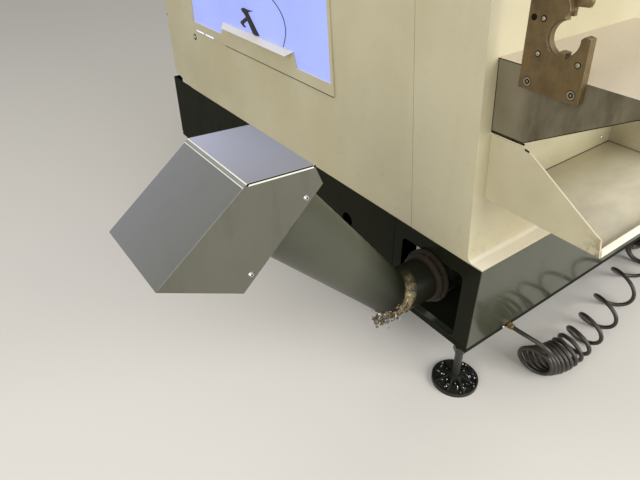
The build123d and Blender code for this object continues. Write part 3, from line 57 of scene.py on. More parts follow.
Material = bpy.types.Material
Mesh = bmesh.types.BMesh
Pair = tuple[float, float]
Piece = bpy.types.Object
Place = tuple[float, float, float]
Socket = bpy.types.NodeSocket

MM = 0.001
# The CAD frame is moved so that zero is under the middle of the machine; this is where the
# base's front left corner went, so that every place below is written in machine millimetres.
CORNER = Vector((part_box("base_casting")[0].x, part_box("base_casting")[0].y, 0.0))
BODY_OF = {node: body for body, nodes in frame["record"]["behaviour"]["bodies"].items() for node in nodes}
LEFT, FRONT = Vector((-1, 0, 0)), Vector((0, -1, 0))
EVEN = (1.0, 1.0, 1.0)


class Edge(Enum):
    """How the edges of a dressed node are finished."""

    SHARP = "sharp"
    PAINTED = "painted"
    BARE = "bare"


def row(x: float, y: float, z: float) -> Vector:
    """Turn a place in machine millimetres into the frame's metres.

    Args:
        x: To the right of the base's front left corner.
        y: Behind that corner.
        z: Above the floor.

    Returns:
        The same place in the frame.
    """
    return CORNER + Vector((x, y, z)) * MM


def linear(colour: str) -> tuple[float, float, float, float]:
    """Turn an sRGB hex colour into linear light.

    Args:
        colour: Six hex digits after a hash.

    Returns:
        Red, green, blue and an alpha of 1.
    """
    parts = [int(colour[i:i + 2], 16) / 255 for i in (1, 3, 5)]
    return tuple(c / 12.92 if c <= 0.04045 else ((c + 0.055) / 1.055) ** 2.4 for c in parts) + (1.0,)


def add_node(tree: bpy.types.NodeTree, kind: str, settings: dict | None = None,
             links: dict | None = None) -> bpy.types.Node:
    """Add a node with its settings and its incoming links.

    Args:
        tree: Node tree of a material or the world.
        kind: Blender's name of the node type, without its first word.
        settings: Values by input name or number, or by the node's own property.
        links: Sockets to link from, by input name or number.

    Returns:
        The new node.
    """
    node = tree.nodes.new("ShaderNode" + kind)
    for name, value in (settings or {}).items():
        if isinstance(name, str) and name not in node.inputs:
            setattr(node, name, value)
        else:
            node.inputs[name].default_value = value
    for name, socket in (links or {}).items():
        tree.links.new(socket, node.inputs[name])
    return node


class Paint:
    """A material in the making: its shader, its patterns and the colour laid down so far."""

    def __init__(self, name: str, colour: str) -> None:
        """Start a material with a bare Principled shader.

        Args:
            name: The material's name.
            colour: Hex colour under everything that is laid over it.
        """
        self.material = bpy.data.materials.new(name)
        self.material.use_nodes = True
        self.tree = self.material.node_tree
        self.tree.nodes.clear()
        self.surface = self.add("BsdfPrincipled")
        self.add("OutputMaterial", None, {"Surface": self.surface.outputs[0]})
        self.colour = colour

    def add(self, kind: str, settings: dict | None = None, links: dict | None = None) -> bpy.types.Node:
        """Add a node to this material."""
        return add_node(self.tree, kind, settings, links)

    def lay(self, factor: Socket, colour: str | Socket) -> None:
        """Lay a colour over what is there, as strongly as the factor says."""
        self.colour = self.mixed(factor, self.colour, colour)

    def mixed(self, factor: Socket, first: str | Socket, second: str | Socket) -> Socket:
        """Mix two colours, each a hex colour or a socket.

        Args:
            factor: Socket from 0, the first, to 1, the second.
            first: Colour or socket at 0.
            second: Colour or socket at 1.

        Returns:
            The mixed colour's socket.
        """
        settings, links = {"data_type": "RGBA"}, {0: factor}
        for slot, value in ((6, first), (7, second)):
            if isinstance(value, str):
                settings[slot] = linear(value)
            else:
                links[slot] = value
        return self.add("Mix", settings, links).outputs[2]

    def band(self, value: Socket, low: float, high: float, start: float = 0.0, end: float = 1.0) -> Socket:
        """Spread the band of a value from low to high out to the range from start to end."""
        settings = {"clamp": True, 1: low, 2: high, 3: start, 4: end}
        return self.add("MapRange", settings, {0: value}).outputs[0]

    def work(self, operation: str, *values: Socket) -> Socket:
        """Join sockets one after the other by an operation of the Math node.

        Args:
            operation: Blender's name of the operation.
            values: Two sockets or more.

        Returns:
            The result's socket.
        """
        whole = values[0]
        for value in values[1:]:
            whole = self.add("Math", {"operation": operation}, {0: whole, 1: value}).outputs[0]
        return whole

    def places(self, stretch: Place = EVEN) -> Socket:
        """Machine coordinates in metres, each axis times its stretch."""
        settings = {"Location": tuple(-CORNER[i] * stretch[i] for i in range(3)), "Scale": stretch}
        return self.add("Mapping", settings, {"Vector": self.add("TexCoord").outputs["Object"]}).outputs[0]

    def cloud(self, size: float, detail: float = 3.0, rough: float = 0.55, stretch: Place = EVEN) -> Socket:
        """Noise with features of a real size in millimetres, drawn out where the stretch is small."""
        settings = {"Scale": 1 / (size * MM), "Detail": detail, "Roughness": rough}
        return self.add("TexNoise", settings, {"Vector": self.places(stretch)}).outputs["Fac"]

    def patches(self, cloud: tuple, low: float, high: float, start: float = 0.0, end: float = 1.0) -> Socket:
        """Band of a cloud that is given by its values."""
        return self.band(self.cloud(*cloud), low, high, start, end)

    def along(self, axis: str, low: float, high: float) -> Socket:
        """Ramp along a machine axis, 0 at the low place and 1 at the high one, in millimetres."""
        split = self.add("SeparateXYZ", None, {0: self.places()})
        return self.band(split.outputs[axis], low * MM, high * MM)

    def facing(self, axis: str, low: float, high: float, start: float = 0.0, end: float = 1.0) -> Socket:
        """Band of how far the surface faces along an axis."""
        split = self.add("SeparateXYZ", None, {0: self.add("NewGeometry").outputs["Normal"]})
        return self.band(split.outputs[axis], low, high, start, end)

    def done(self, values: dict[str, object], bump: tuple[Socket, float, float] | None = None) -> Material:
        """Fill the shader's inputs in and hand the material over.

        Args:
            values: Socket, number or hex colour for each input by its name.
            bump: Height from 0 to 1, what 1 is in millimetres and the share that shows.

        Returns:
            The material.
        """
        values = {"Base Color": self.colour, **values}
        if bump:
            settings = {"Strength": bump[2], "Distance": bump[1] * MM}
            values["Normal"] = self.add("Bump", settings, {"Height": bump[0]}).outputs[0]
        for name, value in values.items():
            if isinstance(value, Socket):
                self.tree.links.new(value, self.surface.inputs[name])
            else:
                self.surface.inputs[name].default_value = linear(value) if isinstance(value, str) else value
        return self.material


@dataclass(frozen=True)
class PowderCoat:
    """Polyester powder coat on sheet steel: even colour, satin gloss, fine orange peel, painted light on
    upward faces.
    """

    name: str
    colour: str
    worn: str
    grime: str
    dirt: float = 0.35
    dust_and_top_light: str = "#F6EEDC"
    top_light_share: float = 0.85
    roughness: float = 0.42

    def build(self) -> Material:
        """Build broad yellowing, faint upright wipes, hand grime low down and painted light on upward faces.

        Returns:
            The material.
        """
        paint = Paint(self.name, self.colour)
        paint.lay(paint.patches((420.0,), 0.38, 0.66), self.worn)
        paint.lay(paint.patches((90.0, 4.0, 0.6, (1.0, 1.0, 0.12)), 0.52, 0.72, 0.0, 0.35), self.worn)
        low = paint.band(paint.along("Z", 640.0, 440.0), 0.0, 1.0, self.dirt * 0.35, self.dirt)
        paint.lay(paint.work("MULTIPLY", paint.patches((34.0, 6.0, 0.7), 0.56, 0.74), low), self.grime)
        # Upward faces are painted pale, as top light.
        paint.lay(paint.facing("Z", 0.6, 0.98, 0.0, self.top_light_share), self.dust_and_top_light)
        gloss = paint.patches((160.0, 4.0), 0.3, 0.7, self.roughness - 0.06, self.roughness + 0.08)
        values = {"Roughness": gloss, "Coat Weight": 0.15, "Coat Roughness": 0.22}
        return paint.done(values, (paint.cloud(2.6, 1.0), 0.05, 0.35))


@dataclass(frozen=True)
class Enamel:
    """Sprayed machine enamel: glossier than powder coat, with dust streaks and oily runs."""

    name: str
    colour: str
    dust_and_top_light: str
    oil: str
    roughness: float = 0.26
    coat: float = 0.6
    dusty: float = 0.4
    peel: float = 4.0
    specular: float = 0.5
    # Colours of a painted sky reflection on upward faces, and the share of painted shade on faces that look
    # left.
    sky_reflection: str = ""
    sky_reflection_rear: str = ""
    left_shade: float = 0.0

    def build(self) -> Material:
        """Build soft dust, oily runs, a wet coat, a painted sky reflection on upward faces and painted shade
        on faces that look left.

        Returns:
            The material.
        """
        paint = Paint(self.name, self.colour)
        dust_and_top_light = paint.patches((130.0, 5.0, 0.62), 0.45, 0.75, 0.0, self.dusty)
        paint.lay(dust_and_top_light, self.dust_and_top_light)
        paint.lay(paint.patches((46.0, 4.0, 0.6, (1.0, 1.0, 0.16)), 0.55, 0.75, 0.0, 0.55), self.oil)
        paint.lay(paint.patches((7.0, 3.0, 0.7), 0.7, 0.78, 0.0, 0.6), self.dust_and_top_light)
        # Upward faces get a painted sky reflection, stronger towards the rear left of the hood.
        if self.sky_reflection:
            sky = paint.work("MULTIPLY", paint.along("X", -480.0, -610.0), paint.along("Y", 40.0, 290.0))
            paint.lay(paint.facing("Z", 0.75, 0.95), paint.mixed(sky, self.sky_reflection, self.sky_reflection_rear))
        # Faces that look left get painted shade: the oil colour over them, and less coat and specular.
        paint.lay(paint.facing("X", -0.4, -0.9, 0.0, self.left_shade), self.oil)
        values = {"Roughness": paint.band(dust_and_top_light, 0.0, self.dusty, self.roughness, self.roughness + 0.2)}
        for name, value in (("Coat Weight", self.coat), ("Specular IOR Level", self.specular)):
            values[name] = paint.facing("X", -0.4, -0.9, value, value * (1 - self.left_shade))
        values["Coat Roughness"] = self.roughness * 0.5
        return paint.done(values, (paint.cloud(self.peel, 1.5), 0.04, 0.25))


@dataclass(frozen=True)
class CakedEnamel:
    """Tube enamel that darkens towards the elbow, with dried coolant along the elbow's weld."""

    name: str
    colour: str
    dust_and_top_light: str
    dark: str
    film: str
    fleck: str
    elbow: Place = (-147.0, 172.0, 338.0)
    across: Place = (-0.9114, 0.0, 0.4115)
    weld: float = 30.0

    def build(self) -> Material:
        """Build dusty enamel, its dark end and a tan film that follows the weld.

        Returns:
            The material.
        """
        paint = Paint(self.name, self.colour)
        paint.lay(paint.patches((130.0, 5.0, 0.62), 0.45, 0.75, 0.0, 0.4), self.dust_and_top_light)
        away = sum(a * e * MM for a, e in zip(self.across, self.elbow))
        reach = paint.add("VectorMath", {"operation": "DOT_PRODUCT", 1: self.across}, {0: paint.places()})
        reach = paint.add("Math", {"operation": "SUBTRACT", 1: away}, {0: reach.outputs["Value"]}).outputs[0]
        paint.lay(paint.band(reach, 0.27, 0.05), self.dark)
        near = paint.add("Math", {"operation": "ABSOLUTE"}, {0: reach}).outputs[0]
        near = paint.band(paint.band(near, self.weld * MM, 0.0), 0.1, 0.6)
        lumps = paint.patches((14.0, 6.0, 0.7, (1.0, 1.0, 0.45)), 0.36, 0.66)
        below = paint.work("MULTIPLY", paint.along("Y", 178.0, 128.0), lumps, paint.along("Z", 420.0, 370.0))
        film = paint.work("MULTIPLY", near, below)
        paint.lay(film, self.film)
        paint.lay(paint.work("MULTIPLY", film, paint.patches((5.0, 3.0, 0.7), 0.54, 0.62)), self.fleck)
        specular = paint.band(reach, 0.02, 0.3, 0.08, 0.22)
        values = {"Roughness": paint.band(film, 0.0, 1.0, 0.38, 0.6), "Specular IOR Level": specular}
        return paint.done(values, (film, 0.8, 0.5))


@dataclass(frozen=True)
class BareMetal:
    """Machined, ground or plated metal, with fine tool lines and a film of oil in patches."""

    name: str
    colour: str
    stain: str
    roughness: float = 0.3
    stained: float = 0.4
    patch: float = 30.0
    line: float = 0.9
    metallic: float = 1.0
    lay: Place = (0.08, 1.0, 1.0)
    streaked: float = 0.0

    def build(self) -> Material:
        """Build stained patches and streaks over drawn-out tool lines.

        Returns:
            The material.
        """
        paint = Paint(self.name, self.colour)
        paint.lay(paint.patches((self.patch, 5.0, 0.65), 0.45, 0.7, 0.0, self.stained), self.stain)
        streaks = paint.patches((self.line * 5, 4.0, 0.7, self.lay), 0.4, 0.64, 0.0, self.streaked)
        paint.lay(streaks, self.stain)
        lines = paint.cloud(self.line, 2.0, 0.6, self.lay)
        gloss = paint.band(lines, 0.25, 0.75, self.roughness - 0.08, self.roughness + 0.14)
        return paint.done({"Metallic": self.metallic, "Roughness": gloss}, (lines, 0.02, 0.4))


@dataclass(frozen=True)
class StainedSheet:
    """Cold-rolled sheet with a worn paint film: coolant stains, brown runs under the fixture."""

    name: str
    colour: str
    dull: str
    brown: str
    top: str
    roughness: float = 0.45
    metallic: float = 0.25

    def build(self) -> Material:
        """Build dull clouds, wiped streaks, a pale top and brown drips on the left end.

        Returns:
            The material.
        """
        paint = Paint(self.name, self.colour)
        paint.lay(paint.patches((150.0, 6.0, 0.65), 0.35, 0.7), self.dull)
        drips = paint.patches((30.0, 5.0, 0.6, (1.0, 1.0, 0.35)), 0.36, 0.68, 0.25, 0.8)
        under = paint.work("MULTIPLY", paint.along("X", 60.0, 43.0), paint.along("Y", 22.0, -10.0), drips)
        paint.lay(under, self.brown)
        above = paint.facing("Z", 0.6, 0.95)
        paint.lay(above, self.top)
        paint.lay(paint.patches((12.0, 4.0, 0.7), 0.64, 0.74, 0.0, 0.35), self.brown)
        gloss = paint.band(above, 0.0, 1.0, self.roughness, self.roughness - 0.2)
        values = {"Metallic": self.metallic, "Roughness": gloss}
        return paint.done(values, (paint.cloud(3.0, 3.0), 0.04, 0.25))


@dataclass(frozen=True)
class CoolantTray:
    """Cream-coated tray with a wet, streaked floor, painted light towards the front and painted shade towards
    the back wall.
    """

    name: str
    colour: str
    worn: str
    oil: str
    # Pale floor colour, laid as painted light.
    bare: str
    rust: str
    floor: float = 645.0

    def build(self) -> Material:
        """Build cream walls, an oily tide line, oil streaks on the floor with painted light towards the front
        and painted shade towards the back wall, and rust at the left front corner.

        Returns:
            The material.
        """
        paint = Paint(self.name, self.colour)
        paint.lay(paint.patches((120.0, 5.0, 0.6), 0.35, 0.7), self.worn)
        inside = paint.along("X", 44.8, 46.2)
        low = paint.work("MULTIPLY", inside, paint.along("Z", self.floor + 50, self.floor - 8))
        # The floor is painted pale towards the front, as light and sheen.
        paint.lay(paint.work("MULTIPLY", low, paint.along("Y", 30.0, -120.0)), self.bare)
        # Oil streaks, and painted shade where the floor darkens towards the back wall under the shelf.
        streaks = paint.patches((90.0, 5.0, 0.6, (0.5, 1.0, 1.0)), 0.4, 0.74, 0.0, 0.7)
        oil_and_shade = paint.work("MULTIPLY", low, paint.work("MAXIMUM", streaks, paint.along("Y", -70.0, 62.0)))
        paint.lay(paint.band(oil_and_shade, 0.0, 1.0, 0.0, 0.5), self.oil)
        ramps = (("Z", 705.0, 640.0), ("Y", -185.0, -250.0), ("X", 62.0, 45.5))
        corner = [paint.along(*ramp) for ramp in ramps]
        paint.lay(paint.work("MULTIPLY", *corner, paint.patches((16.0, 5.0, 0.7), 0.42, 0.6)), self.rust)
        paint.lay(paint.patches((9.0, 4.0, 0.7), 0.68, 0.76, 0.0, 0.35), self.oil)
        gloss = paint.band(low, 0.0, 1.0, 0.42, 0.16)
        values = {"Roughness": gloss, "Coat Weight": 0.4, "Coat Roughness": 0.1}
        return paint.done(values, (paint.cloud(14.0, 4.0), 0.12, 0.25))


@dataclass(frozen=True)
class Moulded:
    """Injection-moulded or extruded plastic and rubber: even colour with a fine texture."""

    name: str
    colour: str
    rubbed: str
    roughness: float = 0.4
    grain: float = 1.2
    patch: float = 40.0
    rubbing: float = 0.35

    def build(self) -> Material:
        """Build a moulded grain with rubbed, dusty patches.

        Returns:
            The material.
        """
        paint = Paint(self.name, self.colour)
        patches = paint.patches((self.patch, 4.0, 0.6), 0.42, 0.7, 0.0, self.rubbing)
        paint.lay(patches, self.rubbed)
        gloss = paint.band(patches, 0.0, self.rubbing, self.roughness, self.roughness + 0.15)
        return paint.done({"Roughness": gloss, "IOR": 1.46}, (paint.cloud(self.grain, 1.0), 0.03, 0.3))


@dataclass(frozen=True)
class Pane:
    """Polycarbonate pane under a pale film: mostly opaque, cool, smooth, a little cloudy."""

    name: str
    colour: str
    haze: str
    film: float = 0.9
    # Emission strength and colour: a painted glow, not a lamp.
    painted_glow: float = 0.0
    lit: str = "#C3D0FA"

    def build(self) -> Material:
        """Build a milky film with a painted glow, as if from a lit cabin behind it.

        Returns:
            The material.
        """
        paint = Paint(self.name, self.colour)
        clouds = paint.patches((260.0, 3.0), 0.35, 0.7)
        paint.lay(clouds, self.haze)
        gloss = paint.band(clouds, 0.0, 1.0, 0.08, 0.16)
        values = {"Roughness": gloss, "Transmission Weight": 1.0 - self.film, "IOR": 1.58}
        return paint.done({**values, "Emission Color": self.lit, "Emission Strength": self.painted_glow})


@dataclass(frozen=True)
class Crust:
    """Dried coolant residue and chips: rough ochre and brown lumps with bright flecks."""

    name: str
    pale: str
    brown: str
    dark: str

    def build(self) -> Material:
        """Build ochre, brown and near-black grains with shiny flecks.

        Returns:
            The material.
        """
        paint = Paint(self.name, self.pale)
        paint.lay(paint.patches((9.0, 4.0, 0.7), 0.38, 0.62), self.brown)
        paint.lay(paint.patches((4.0, 4.0, 0.7), 0.52, 0.66), self.dark)
        flecks = paint.patches((2.4, 2.0, 0.6), 0.6, 0.66)
        values = {"Metallic": flecks, "Roughness": paint.band(flecks, 0.0, 1.0, 0.75, 0.3)}
        return paint.done(values, (paint.cloud(3.0, 4.0), 1.0, 0.8))


class Finishes:
    """Every finish of the machine, built once."""

    def __init__(self) -> None:
        """Build each material and keep it by name."""
        finishes = [
            # Cream powder coat of the cabin sheets: satin, slightly yellowed, grey smudges.
            PowderCoat("cream_powder_coat", "#C0B899", "#B5AC8A", "#7C745C"),
            # The same coat on pieces at the back and inside, less handled.
            PowderCoat("cream_coat_inside", "#CBC4AC", "#BEB69B", "#8B8367", 0.2),
            # Dark grey-green base enamel: glossy, mirrors the floor softly, with painted shade on its
            # left-facing side.
            Enamel(
                "dark_base_enamel", "#3C3E31", "#4E4F41", "#171810", 0.14, 0.3, 0.18, 6.0, 0.4, left_shade=0.9,
            ),
            # The same enamel painted almost black, matt and without reflection, as shade on the side skirts
            # and the base inside them.
            Enamel("shaded_base_enamel", "#1B1C13", "#26271D", "#0E0E0A", 0.65, 0.0, 0.3, specular=0.08),
            # Mid grey hood enamel: satin, with a painted lilac-grey sky reflection on its top.
            Enamel(
                "grey_hood_enamel", "#545449", "#5E5D50", "#44443A", 0.36, 0.05, 0.3, 4.0, 0.3, "#85868A",
                "#A5A7BB",
            ),
            # Tube in the hood's grey, almost black at the elbow, where coolant dries to a tan film.
            CakedEnamel("coolant_caked_tube_enamel", "#44463A", "#4E4E41", "#13140C", "#857657", "#C2B89C"),
            # Foot screws: olive-black paint, oily.
            Enamel("olive_black_enamel", "#25271C", "#34362A", "#15160F", 0.38, 0.25, 0.3),
            # Cast machine body paint: thick, semi-gloss, grey.
            Enamel("grey_casting_paint", "#7A7C76", "#8C8B82", "#4F4F47", 0.38, 0.3, 0.3, 9.0),
            # Grey-brown shelf sheet: dull, streaked by drips, pale and shiny on top.
            StainedSheet("stained_shelf_sheet", "#7E765F", "#736B55", "#453E29", "#CDC1B0"),
            # Cream tray: wet floor painted pale towards the front as light and darker at the back as shade,
            # oil streaks, a rusty corner.
            CoolantTray("wet_cream_tray", "#BDB494", "#B1A888", "#948B6A", "#F0E8D0", "#6E5B3B"),
            # Ground steel of rails, covers and spindle: bright with straight grinding lines.
            BareMetal("ground_steel", "#A9A9A4", "#84827A", 0.26, 0.35),
            # Milled table top: lay marks across, a little darker.
            BareMetal("milled_cast_iron", "#8F8E88", "#6B6A62", 0.34, 0.4, 60.0, 1.6),
            # Oily brown machine steel of the tool fixture: dark film over scratched metal.
            BareMetal(
                "oily_brown_steel", "#725F3D", "#46381F", 0.42, 0.6, 55.0, 0.9, 0.55, (1.0, 1.0, 0.12), 0.2,
            ),
            # Crown of a worn bolt or screw, rubbed pale in a ring of old oil.
            BareMetal("worn_bolt_steel", "#9A917A", "#5A503A", 0.4, 0.4, 5.0, 0.6, 0.6, EVEN),
            # Zinc-plated screws, studs and small parts.
            BareMetal("bright_zinc", "#C9C9C4", "#A29C8C", 0.24, 0.3, 8.0, 0.6, 1.0, EVEN),
            # Edge of the shelf and the fixture where the coat has rubbed off the steel.
            BareMetal("rubbed_sheet_edge", "#B9B9B2", "#8E8C80", 0.34, 0.3, 12.0, 0.8, 0.8, EVEN),
            # Freshly rubbed cut edges that catch the light as thin bright lines.
            BareMetal("burnished_sheet_edge", "#E6E4DB", "#B9B6A8", 0.3, 0.2, 12.0, 0.8, 0.5, EVEN),
            # Cream coat along the tray's lip, rubbed, and painted pale as a highlight.
            PowderCoat("rubbed_cream_edge", "#F2E8CE", "#E4D8B9", "#A2906A"),
            # Matt and nearly black: old oil and dirt packed into gaps, and painted shade in gaps and folds.
            Enamel("black_oil_grime", "#14120D", "#211D15", "#090806", 0.75, 0.0, 0.3, 2.0, 0.08),
            # Swarf curls: thin, bright, slightly blue from heat, oily.
            BareMetal("curled_swarf", "#B6B8B8", "#4C4A44", 0.22, 0.7, 6.0, 0.7, 1.0, EVEN),
            # Dull brass of the hose's fitting, stained brown.
            BareMetal("turned_brass", "#9C8459", "#5E4A31", 0.36, 0.7, 7.0, 0.6, 0.85, EVEN),
            # Cast iron pad, blackened by oil.
            BareMetal("oiled_cast_pad", "#2E2D28", "#100F0C", 0.36, 0.8, 22.0, 1.6, 0.45, EVEN),
            # Polyurethane hose: grey-brown, satin, with dusty rubbed patches.
            Moulded("hose_polyurethane", "#2C2822", "#484136", 0.32, 1.0, 30.0, 0.45),
            # Handles, motors and knobs: black with grey rubbed patches.
            Moulded("black_moulded_plastic", "#1D1D1C", "#343330", 0.42),
            # Stop button and disconnect handle: signal red, glossy.
            Moulded("red_moulded_plastic", "#B01818", "#8E1712", 0.25),
            # Start button: signal green, glossy.
            Moulded("green_moulded_plastic", "#1E7A34", "#17602A", 0.25),
            # Keys without lettering: pale grey, worn by fingers.
            Moulded("pale_grey_key_plastic", "#B7B6AE", "#9B998F", 0.4),
            # Screen that is off: near black, mirror-like, faintly smeared.
            Moulded("dark_screen_glass", "#16191C", "#202427", 0.08, 6.0, 80.0, 0.2),
            # Hook, wire and washers: matt black rubber and plastic; also black strips and discs of painted
            # shade under the sash, round a screw and in screw sockets.
            Moulded("black_rubber_gasket", "#191816", "#2C2A26", 0.6),
            # Side window: a blue-lilac protective film with a painted glow, as if lit through from the cabin.
            Pane("film_covered_pane", "#8B9BEE", "#7F8CE0", 0.96, 0.34),
            # Slits with an almost white painted glow, as if the cabin's lamp shone through them.
            Pane("painted_glow_slit", "#C9D2FA", "#BCC6F4", 1.0, 0.5, "#F2F4FF"),
            # Door windows: clear with a thin haze.
            Pane("clear_door_pane", "#C9CFD4", "#BEC5CB", 0.12, 0.0),
            # Crust under the elbow: ochre and brown grains with bright chips in it.
            Crust("dried_coolant_crust", "#8C7A55", "#4E4028", "#191510"),
            # Brown-black film where coolant dried on the flange and rings.
            Enamel("brown_ring_enamel", "#211D15", "#3A2D1B", "#110F0A", 0.5, 0.0, 0.5, 3.0, specular=0.25),
        ]
        self.by_name = {finish.name: finish.build() for finish in finishes}

    def __getitem__(self, name: str) -> Material:
        """Look a finish up by its name."""
        return self.by_name[name]


def new_piece(name: str, bm: Mesh, materials: list[Material], body: str, smooth: float = 35.0) -> Piece:
    """Make an object from a bmesh, smooth it up to an angle and let it ride on a body.

    Args:
        name: Name of the piece.
        bm: The shape, in the frame's metres; it is freed.
        materials: One material for each slot that the faces use.
        body: CAD body that it rides on.
        smooth: Largest angle, in degrees, that is shaded as one surface.

    Returns:
        The finished object.
    """
    mesh = bpy.data.meshes.new(name)
    bm.to_mesh(mesh)
    bm.free()
    for material in materials:
        mesh.materials.append(material)
    for polygon in mesh.polygons:
        polygon.use_smooth = True
    mesh.set_sharp_from_angle(angle=math.radians(smooth))
    piece = linked(name, mesh)
    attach(piece, body)
    return piece


def linked(name: str, data: bpy.types.ID | None) -> Piece:
    """Make an object of some data and put it in the scene.

    Args:
        name: Name of the object.
        data: Its mesh, curve, camera or lamp.

    Returns:
        The object.
    """
    made = bpy.data.objects.new(name, data)
    bpy.context.scene.collection.objects.link(made)
    return made


def turned_to(direction: Vector, origin: Vector) -> Matrix:
    """Work out how to turn +Z to a direction and move zero to an origin.

    Args:
        direction: Where +Z goes.
        origin: Where zero goes.

    Returns:
        The matrix.
    """
    return Matrix.Translation(origin) @ direction.to_track_quat("Z", "Y").to_matrix().to_4x4()


def rounded_edges(bm: Mesh, edges: list, radius: float, segments: int = 2, clamp: bool = False) -> list:
    """Round edges off.

    Args:
        bm: The bmesh they are in.
        edges: The edges.
        radius: Radius in millimetres.
        segments: Facets across each edge.
        clamp: Whether the rounding stops where it would overlap.

    Returns:
        The new faces.
    """
    return bmesh.ops.bevel(
        bm, geom=edges, offset=radius * MM, segments=segments, profile=0.5, affect="EDGES", material=-1,
        clamp_overlap=clamp,
    )["faces"]


def add_disc_stack(bm: Mesh, outline: list[Pair], placed: Matrix, steps: int = 32, slot: int = 0) -> None:
    """Spin an outline of radius and height, in millimetres, round +Z and place it.

    Args:
        bm: The bmesh that gets the shape.
        outline: Radius and height of each point; it starts and ends on the axis.
        placed: Where the turned shape goes.
        steps: Facets round the axis.
        slot: Material slot of its faces.
    """
    before = set(bm.verts)
    points = [bm.verts.new((radius * MM, 0, height * MM)) for radius, height in outline]
    edges = [bm.edges.new(pair) for pair in zip(points, points[1:])]
    bmesh.ops.spin(
        bm, geom=points + edges, cent=(0, 0, 0), axis=(0, 0, 1), angle=2 * math.pi, steps=steps,
        use_merge=True,
    )
    bmesh.ops.remove_doubles(bm, verts=[v for v in bm.verts if v not in before], dist=1e-6)
    corners = [v for v in bm.verts if v not in before]
    faces = list({face for v in corners for face in v.link_faces})
    bmesh.ops.recalc_face_normals(bm, faces=faces)
    for face in faces:
        face.material_index = slot
    bmesh.ops.transform(bm, matrix=placed, verts=corners)


def add_box(bm: Mesh, low: Vector, high: Vector, edge: float, slot: int = 0) -> None:
    """Add a box with rounded edges.

    Args:
        bm: The bmesh that gets the box.
        low: Lowest corner in the frame.
        high: Highest corner in the frame.
        edge: Radius of its edges in millimetres.
        slot: Material slot of its faces.
    """
    placed = Matrix.Translation((low + high) / 2) @ Matrix.Diagonal((*(high - low), 1))
    verts = bmesh.ops.create_cube(bm, size=1.0, matrix=placed)["verts"]
    made = rounded_edges(bm, list({e for v in verts for e in v.link_edges}), edge, 3, True)
    verts = {v for face in made for v in face.verts} | {v for v in verts if v.is_valid}
    for face in {face for v in verts for face in v.link_faces}:
        face.material_index = slot


def add_prism(bm: Mesh, outline: list[Vector], depth: Vector, slot: int = 0) -> None:
    """Add a flat outline drawn out to a thin solid.

    Args:
        bm: The bmesh that gets it.
        outline: Corners in order, in the frame.
        depth: Way and length to draw it out, in millimetres.
        slot: Material slot of its faces.
    """
    before = set(bm.faces)
    face = bm.faces.new([bm.verts.new(corner) for corner in outline])
    pulled = bmesh.ops.extrude_face_region(bm, geom=[face])["geom"]
    bmesh.ops.translate(bm, verts=[v for v in pulled if isinstance(v, bmesh.types.BMVert)], vec=depth * MM)
    made = [face for face in bm.faces if face not in before]
    bmesh.ops.recalc_face_normals(bm, faces=made)
    for face in made:
        face.material_index = slot


def add_band(bm: Mesh, ends: tuple[Vector, Vector], across: Vector, lift: Vector, slot: int = 0) -> None:
    """Add a thin flat strip on a surface.

    Args:
        bm: The bmesh that gets it.
        ends: The ends of its first edge, in the frame.
        across: From the first edge to the second, in millimetres.
        lift: Its thickness and way out of the surface, in millimetres.
        slot: Material slot of its faces.
    """
    start, end = ends
    add_prism(bm, [start, end, end + across * MM, start + across * MM], lift, slot)


def drawn_tube(name: str, points: list[Vector], radius: float) -> Piece:
    """Draw a smooth tube along control points, as a curve.

    Args:
        name: Name of the object.
        points: Control points in the frame.
        radius: Radius in millimetres.

    Returns:
        The curve object.
    """
    curve = bpy.data.curves.new(name, "CURVE")
    curve.dimensions = "3D"
    spline = curve.splines.new("NURBS")
    spline.points.add(len(points) - 1)
    for knot, place in zip(spline.points, points):
        knot.co = (*place, 1.0)
    spline.order_u = 3
    spline.use_endpoint_u = True
    curve.bevel_depth = radius * MM
    return linked(name, curve)


@dataclass
class CameraRig:
    """Camera at the photograph's angle, worked out from the machine's straight edges."""

    place: Place = (-1000.4, -662.7, 1355.7)
    right: Place = (0.8046, -0.5938, -0.0061)
    down: Place = (-0.3468, -0.4615, -0.8165)
    forward: Place = (0.4820, 0.6591, -0.5773)
    lens: float = 31.44

    def build(self) -> None:
        """Make the camera and hand it to the scene."""
        data = bpy.data.cameras.new("photo_camera")
        data.lens = self.lens
        data.sensor_width = 36.0
        camera = linked("photo_camera", data)
        axes = (self.right, *(tuple(-c for c in axis) for axis in (self.down, self.forward)))
        turned = Matrix(axes).transposed()
        camera.matrix_world = Matrix.Translation(row(*self.place)) @ turned.to_4x4()
        bpy.context.scene.camera = camera


